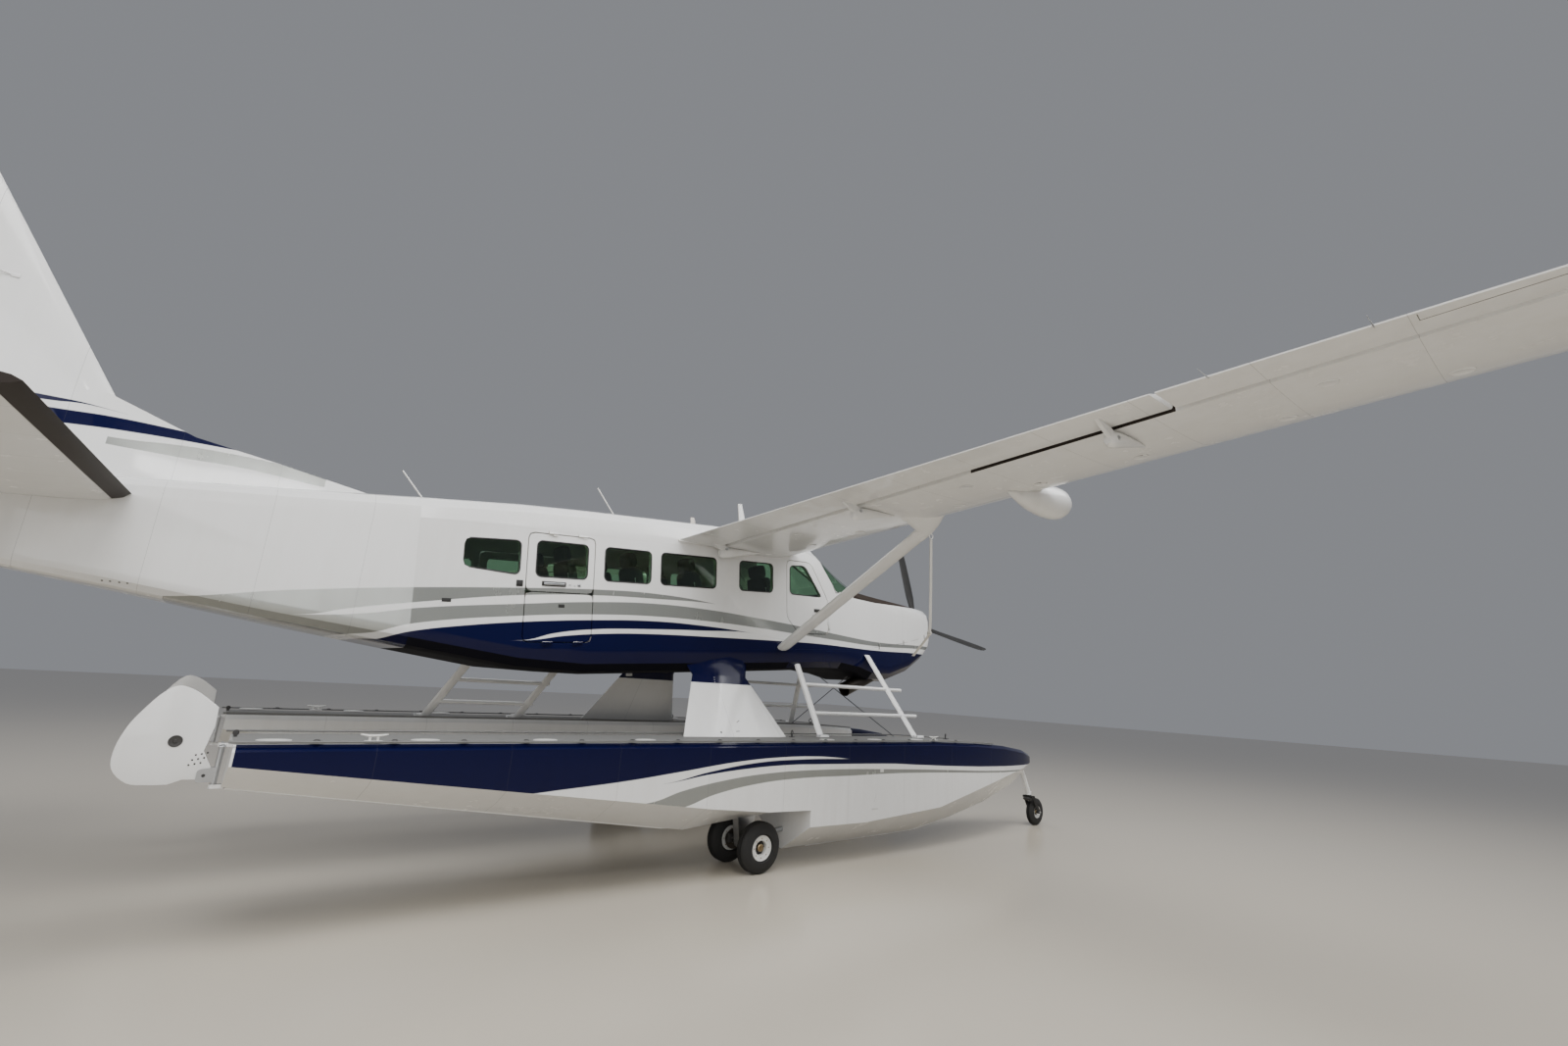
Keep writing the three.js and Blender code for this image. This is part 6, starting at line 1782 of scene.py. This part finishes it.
# %% Nose gear
damper = [bar((6.018, -FLOAT_MIDDLE - half, 0.372), (6.018, -FLOAT_MIDDLE + half, 0.372), radius) for half,
    radius in ((0.055, 0.022), (0.07, 0.009))]
damper.append(bar((6.045, -FLOAT_MIDDLE, 0.372), (6.02, -FLOAT_MIDDLE, 0.372), 0.014))
both_floats(joined(damper), "shimmy_damper", MATT_DARK, body="nose_fork_{}")
nuts = [turned_up([(0, 0.017), (0.012, 0.017), (0.016, 0.012), (0.016, 0)], 6) for _ in range(2)]
for nut, way in zip(nuts, (1, -1)):
    laid(nut, at(NOSE["x"], -FLOAT_MIDDLE - 0.084 * way, NOSE["z"], Matrix.Rotation(way * math.pi / 2, 4, "X")))
both_floats(joined(nuts), "nose_axle_nuts", METAL, body="nose_fork_{}")
print("gear dressed")

# %% [markdown]
# ## Doors and cowl
#
# Handles, locks, latches and hinges are small blocks with rounded edges. Each is modelled flat on the ground, and a
# place on the fuselage's side then turns it to lie on the skin there. The place is found by casting a ray at the
# solids, so a fitting always touches its surface.

# %% Places on the skin


def skin_place(start, way, names):
    """A place on the first surface that a ray meets. Its X looks forward along the skin, and its Z out of it."""
    best = None
    for name in names:
        hit, point, normal, _ = nodes[name].ray_cast(start, way)
        if hit and (best is None or (point - start).length < (best[0] - start).length):
            best = point, normal
    if best is None:
        return None
    point, normal = best
    ahead = AIRFRAME.to_3x3() @ Vector((1, 0, 0))
    along = (ahead - normal * ahead.dot(normal)).normalized()
    axes = Matrix((along, normal.cross(along), normal)).transposed().to_4x4()
    return Matrix.Translation(point) @ axes


def side_place(u, w, side):
    return skin_place(in_part(u, side * 1.6, w), Vector((0, -side, 0)), SIDE_SOLIDS[side])


def top_place(u, v):
    return skin_place(in_part(u, v, 2.6), AIRFRAME.to_3x3() @ Vector((0, 0, -1)), ["cabin_roof", "cowl", "windshield"])


def belly_place(u, v):
    return skin_place(in_part(u, v, -1.5), AIRFRAME.to_3x3() @ Vector((0, 0, 1)), ["cabin_belly", "cowl", "tail_cone"])


def groove(points):
    """A dark line along a seam, through points already on the skin."""
    return rod_along(points, 0.0018, 6)


# %% Door fittings
def handle_bar(length=0.2):
    """A flat lever on two stand-offs."""
    lever = block((0, 0, 0.013), (length, 0.024, 0.009), 0.004)
    posts = [bar((x, 0, 0), (x, 0, 0.012), 0.006, 12) for x in (-length * 0.4, length * 0.4)]
    return joined([lever, *posts])


def recess_plate(length, width):
    """A dark shallow tray behind a lever."""
    tray = block((0, 0, 0.001), (length, width, 0.004))
    edit(tray)
    pick(lambda centre, facing: facing.z > 0.9)
    bpy.ops.mesh.inset(thickness=0.005, depth=-0.0015)
    done()
    round_edges(tray, 0.001)
    return tray


def lock(radius=0.009):
    return turned_up([(0, radius), (0.003, radius), (0.004, radius * 0.8), (0.002, radius * 0.6), (0.002, 0)], 20)


def square_latch():
    frame_plate = block((0, 0, 0.002), (0.06, 0.06, 0.005), 0.002)
    paddle = block((0, 0, 0.0055), (0.036, 0.042, 0.004), 0.0015)
    return joined([frame_plate, paddle])


def hinge_knuckles():
    """Three knuckles in line."""
    return joined([bar((0, y - 0.014, 0.002), (0, y + 0.014, 0.002), 0.0075, 12) for y in (-0.03, 0, 0.03)])


DOORS = {"passenger_door_upper": -1, "cargo_door_upper": 1}
for door, side in DOORS.items():
    settle(laid(recess_plate(0.235, 0.046), side_place(-6.968, 0.985, side)), f"{door}_tray", MATT_DARK, door)
    parts = [laid(handle_bar(), side_place(-6.968, 0.985, side)), laid(lock(), side_place(-6.813, 0.985, side)),
        laid(lock(0.007), side_place(-6.764, 0.978, side)), laid(block((0, 0, 0.001), (0.034, 0.024, 0.003), 0.001),
        side_place(-6.72, 0.984, side))]
    settle(joined(parts), f"{door}_handle", METAL, door)
for side_name, side in SIDES.items():
    crew = f"crew_door_{side_name}"
    settle(joined([laid(recess_plate(0.11, 0.042), side_place(-3.52, 0.86, side)),
        laid(handle_bar(0.09), side_place(-3.52, 0.86, side))]), f"{crew}_handle", MATT_DARK, crew)
    settle(laid(lock(0.008), side_place(-3.60, 0.80, side)), f"{crew}_lock", METAL, crew)
    pins = [laid(hinge_knuckles(), side_place(-3.262, w, side)) for w in (0.64, 0.90)]
    settle(joined(pins), f"{crew}_hinges", STRUT_PAINT)
    latches = [laid(square_latch(), side_place(-7.29, 0.975, side)),
        laid(block((0, 0, 0.001), (0.075, 0.034, 0.003), 0.001), side_place(-7.889, 0.795, side)),
        laid(lock(0.011), side_place(-3.17, 0.99, side))]
    settle(joined(latches), f"side_latches_{side_name}", BLACK)
lower_plate = laid(block((0, 0, 0.001), (0.06, 0.03, 0.003), 0.001), side_place(-6.884, 0.78, -1))
settle(lower_plate, "lower_door_plate", BLACK, "passenger_door_lower")
print("doors fitted")

# %% [markdown]
# ## Engine cowl
#
# The cowl opens along a split line, held by quarter-turn latches. It has an oil door on top, a polished lip round
# the chin intake and a smooth exhaust pipe with a rolled lip on its right.

# %% Cowl fittings
SPLIT_LINE = [(-2.27, 0.403), (-2.166, 0.409), (-1.86, 0.437), (-1.557, 0.468), (-1.26, 0.512), (-0.974, 0.563),
    (-0.80, 0.594)]
CHIN = {"half": 0.21, "low": 0.47, "high": 0.60, "corner": 0.06, "u": -0.741}
EXHAUST = {"start": (-2.2, -0.3479, -0.0198), "end": (-2.668, -0.373, -0.1657), "radius": 0.0935}


def cowl_latch():
    return joined([block((0, 0, 0.001), (0.014, 0.07, 0.004), 0.0012),
        block((0, 0, 0.004), (0.008, 0.02, 0.004), 0.001)])


def chin_lip():
    """A rounded ring round the intake, from a plate that is inset, opened and thickened."""
    half, low, high = CHIN["half"], CHIN["low"], CHIN["high"]
    corners = [(-half, low), (half, low), (half, high), (-half, high)]
    ring = ring_of(outline_plate(spread(corners, 0.012), CHIN["corner"], 8), 0.018)
    thicken(ring, 0.016, 0.006)
    return laid(ring, at(CHIN["u"], 0, 0, TO_Y))


def exhaust_pipe():
    start, end = Vector(EXHAUST["start"]), Vector(EXHAUST["end"])
    way, radius = end - start, EXHAUST["radius"]
    length = way.length
    pipe = turned([(0, radius), (length - 0.02, radius), (length - 0.005, radius + 0.003), (length, radius),
        (length - 0.003, radius - 0.007), (length - 0.3, radius - 0.009)], 48)
    return laid(pipe, at(*start, way.to_track_quat("X", "Z").to_matrix().to_4x4()))


for side_name, side in SIDES.items():
    line = [side_place(u, w, side).translation for u, w in SPLIT_LINE]
    settle(groove(line), f"cowl_split_{side_name}", MATT_DARK)
    marks = [side_place(u, w, side) for u, w in (SPLIT_LINE[1], SPLIT_LINE[3], SPLIT_LINE[5])]
    settle(copies(cowl_latch(), marks), f"cowl_latches_{side_name}", MATT_DARK)
settle(chin_lip(), "intake_lip", POLISHED, place=AIRFRAME)
settle(exhaust_pipe(), "exhaust_pipe", ENGINE, place=AIRFRAME)
oil_door = joined([laid(block((0, 0, 0.001), (0.17, 0.13, 0.003), 0.001), top_place(-1.75, -0.24)),
    *[laid(lock(0.007), top_place(-1.75 + x, -0.29)) for x in (-0.05, 0.05)]])
settle(oil_door, "oil_door", BLACK)
print("cowl fitted")

# %% [markdown]
# ## Windshield seal, aerials and fuel caps
#
# A black seal follows the windshield's edge. Its points are found by rays from the side where the pane is steep and
# from above where it is flat. Aerial bases, a blade under the belly and the fuel caps are small pieces of their own.

# %% Windshield seal
SHIELD_AFT = -3.478
SHIELD_FRONT = -3.126


def windshield_edge(side):
    line = []
    for i in range(11):
        place = top_place(SHIELD_AFT, side * i * 0.055)
        line.append(place.translation)
    for w in (1.72, 1.68, 1.64, 1.6):
        place = side_place(SHIELD_AFT, w, side)
        if place is not None and place.translation.z < line[-1].z:
            line.append(place.translation)
    for i in range(1, 9):
        share = i / 8
        line.append(side_place(SHIELD_AFT + 0.352 * share, 1.6 - 0.488 * share, side).translation)
    for i in range(1, 12):
        u = SHIELD_FRONT + 0.06 * i
        place = side_place(u, 1.113 + (u - SHIELD_FRONT) * 0.0946, side)
        if place is None or abs(place.translation.y) < 0.12:
            break
        line.append(place.translation)
    last = top_place(-2.42, 0.0)
    if last is not None:
        line.append(last.translation)
    return line


for side_name, side in SIDES.items():
    settle(rod_along(windshield_edge(side), 0.006), f"windshield_seal_{side_name}", RUBBER)

# %% Aerials and caps
bases = [AIRFRAME @ at(-4.52, v, wing_surface(-4.52, 0.83, 1)) for v in (-0.55, 0.55)]
bases = [laid(block((0, 0, 0.002), (0.17, 0.05, 0.008), 0.002), place) for place in bases]
bases.append(laid(turned_up([(0, 0.026), (0.006, 0.024), (0.022, 0.012), (0.03, 0.009)], 24), top_place(-5.91, 0.012)))
settle(joined(bases), "aerial_bases", STRUT_PAINT)


def belly_aerial():
    """A small blade, wide at the belly and narrow at its end."""
    piece = block((0, 0, 0.022), (0.075, 0.014, 0.056), 0.004)
    edit(piece)
    pick(lambda centre, normal: normal.z > 0.9)
    bpy.ops.transform.resize(value=(0.55, 0.8, 1))
    done()
    return piece


settle(laid(belly_aerial(), belly_place(-5.725, 0.0)), "belly_aerial", STRUT_PAINT)
drains = [laid(dome(0.008, 0.004, 12), belly_place(u, v)) for u, v in ((-7.6, 0.1), (-5.2, 0.12), (-3.9, 0.1))]
drains += [laid(dome(0.007, 0.003, 12), side_place(u, w, side)) for side in (-1, 1) for u, w in ((-10.084, 0.858),
    (-10.04, 0.854), (-9.99, 0.848), (-9.946, 0.843))]
settle(joined(drains), "belly_drains", MATT_DARK)


def fuel_cap():
    return turned_up([(-0.01, 0.062), (0.003, 0.06), (0.005, 0.055), (0.003, 0.05), (0.003, 0.036), (0.007, 0.034),
        (0.007, 0)], 32)


caps = [laid(fuel_cap(), AIRFRAME @ at(-4.5, v, wing_surface(-4.5, abs(v), 1))) for v in (-4.7, -1.5, 1.5, 4.7)]
settle(joined(caps), "fuel_caps", METAL)
pitot_w = wing_surface(-4.05, 4.9, -1)
pitot = joined([bar((-4.08, 4.9, pitot_w + 0.02), (-4.06, 4.9, pitot_w - 0.09), 0.014, 16, 0.010),
    bar((-4.08, 4.9, pitot_w - 0.088), (-3.80, 4.9, pitot_w - 0.088), 0.011, 16, 0.008)])
settle(pitot, "pitot_tube", METAL, place=AIRFRAME)
print("fuselage fitted")

# %% [markdown]
# ## Tail
#
# Static wicks trail from the rudder and the elevators, and swept aerials stand on the fin's sides. Trim tabs are
# part of their surfaces, with a dark line where they are cut free. Each line is laid on the surface point by point.

# %% Tail fittings
STAB_HINGE = -10.83


def elevator_edge(v):
    return -11.3 + 0.22 * abs(v) / 2.96


def skin_line(name, points, way):
    """A groove over a solid, from points beside it, each moved along a direction until it touches."""
    found = [nodes[name].ray_cast(AIRFRAME @ Vector(p), AIRFRAME.to_3x3() @ Vector(way)) for p in points]
    return groove([hit[1] for hit in found if hit[0]])


wicks = [static_wick(elevator_edge(v) + 0.004, v, 1.503, 0.12) for v in (-2.7, -2.1, -1.5, 1.5, 2.1, 2.7)]
settle(joined(wicks), "elevator_wicks", METAL, "elevators", AIRFRAME)
wicks = [static_wick(-11.64 - 0.0727 * (w - 1.21) + 0.004, 0, w, 0.11) for w in (1.7, 2.3, 2.9)]
settle(joined(wicks), "rudder_wicks", METAL, "rudder", AIRFRAME)
aerials = []
for side in (-1, 1):
    aerials.append(bar((-10.86, side * 0.04, 3.09), (-11.16, side * 0.17, 3.115), 0.007, 10, 0.005))
    aerials.append(block((-10.86, side * 0.046, 3.09), (0.05, 0.018, 0.03), 0.004))
settle(joined(aerials), "fin_aerials", STRUT_PAINT, place=AIRFRAME)
tab_lines = []
for side in (-1, 1):
    for way in (1, -1):
        tab = [(elevator_edge(v) + 0.11, side * v, 1.503 + way * 0.3) for v in (0.62, 1.0, 1.4, 1.8)]
        tab_lines.append(skin_line("elevators", tab, (0, 0, -way)))
        for v in (0.62, 1.8):
            ends = [(elevator_edge(v) + back, side * v, 1.503 + way * 0.3) for back in (0.11, 0.06, 0.012)]
            tab_lines.append(skin_line("elevators", ends, (0, 0, -way)))
settle(joined(tab_lines), "elevator_tab_lines", MATT_DARK, "elevators")
for side_name, side in SIDES.items():
    lines = []
    for way in (1, -1):
        line = [(-5.27, side * v, 1.9 + way * 0.5) for v in (6.85, 7.1, 7.35, 7.6)]
        lines.append(skin_line(f"aileron_{side_name}", line, (0, 0, -way)))
        ends = [(u, side * 6.85, 1.9 + way * 0.5) for u in (-5.27, -5.3, -5.345)]
        lines.append(skin_line(f"aileron_{side_name}", ends, (0, 0, -way)))
    settle(joined(lines), f"aileron_tab_lines_{side_name}", MATT_DARK, f"aileron_{side_name}")
tab = [laid(block((0, 0, 0), (0.03, 0.018, 0.07), 0.004), AIRFRAME @ at(STAB_HINGE + 0.02, side * v, 1.503 - 0.062))
    for side in (-1, 1) for v in (0.9, 2.0)]
settle(joined(tab), "elevator_hinge_brackets", STRUT_PAINT)
print("tail fitted")
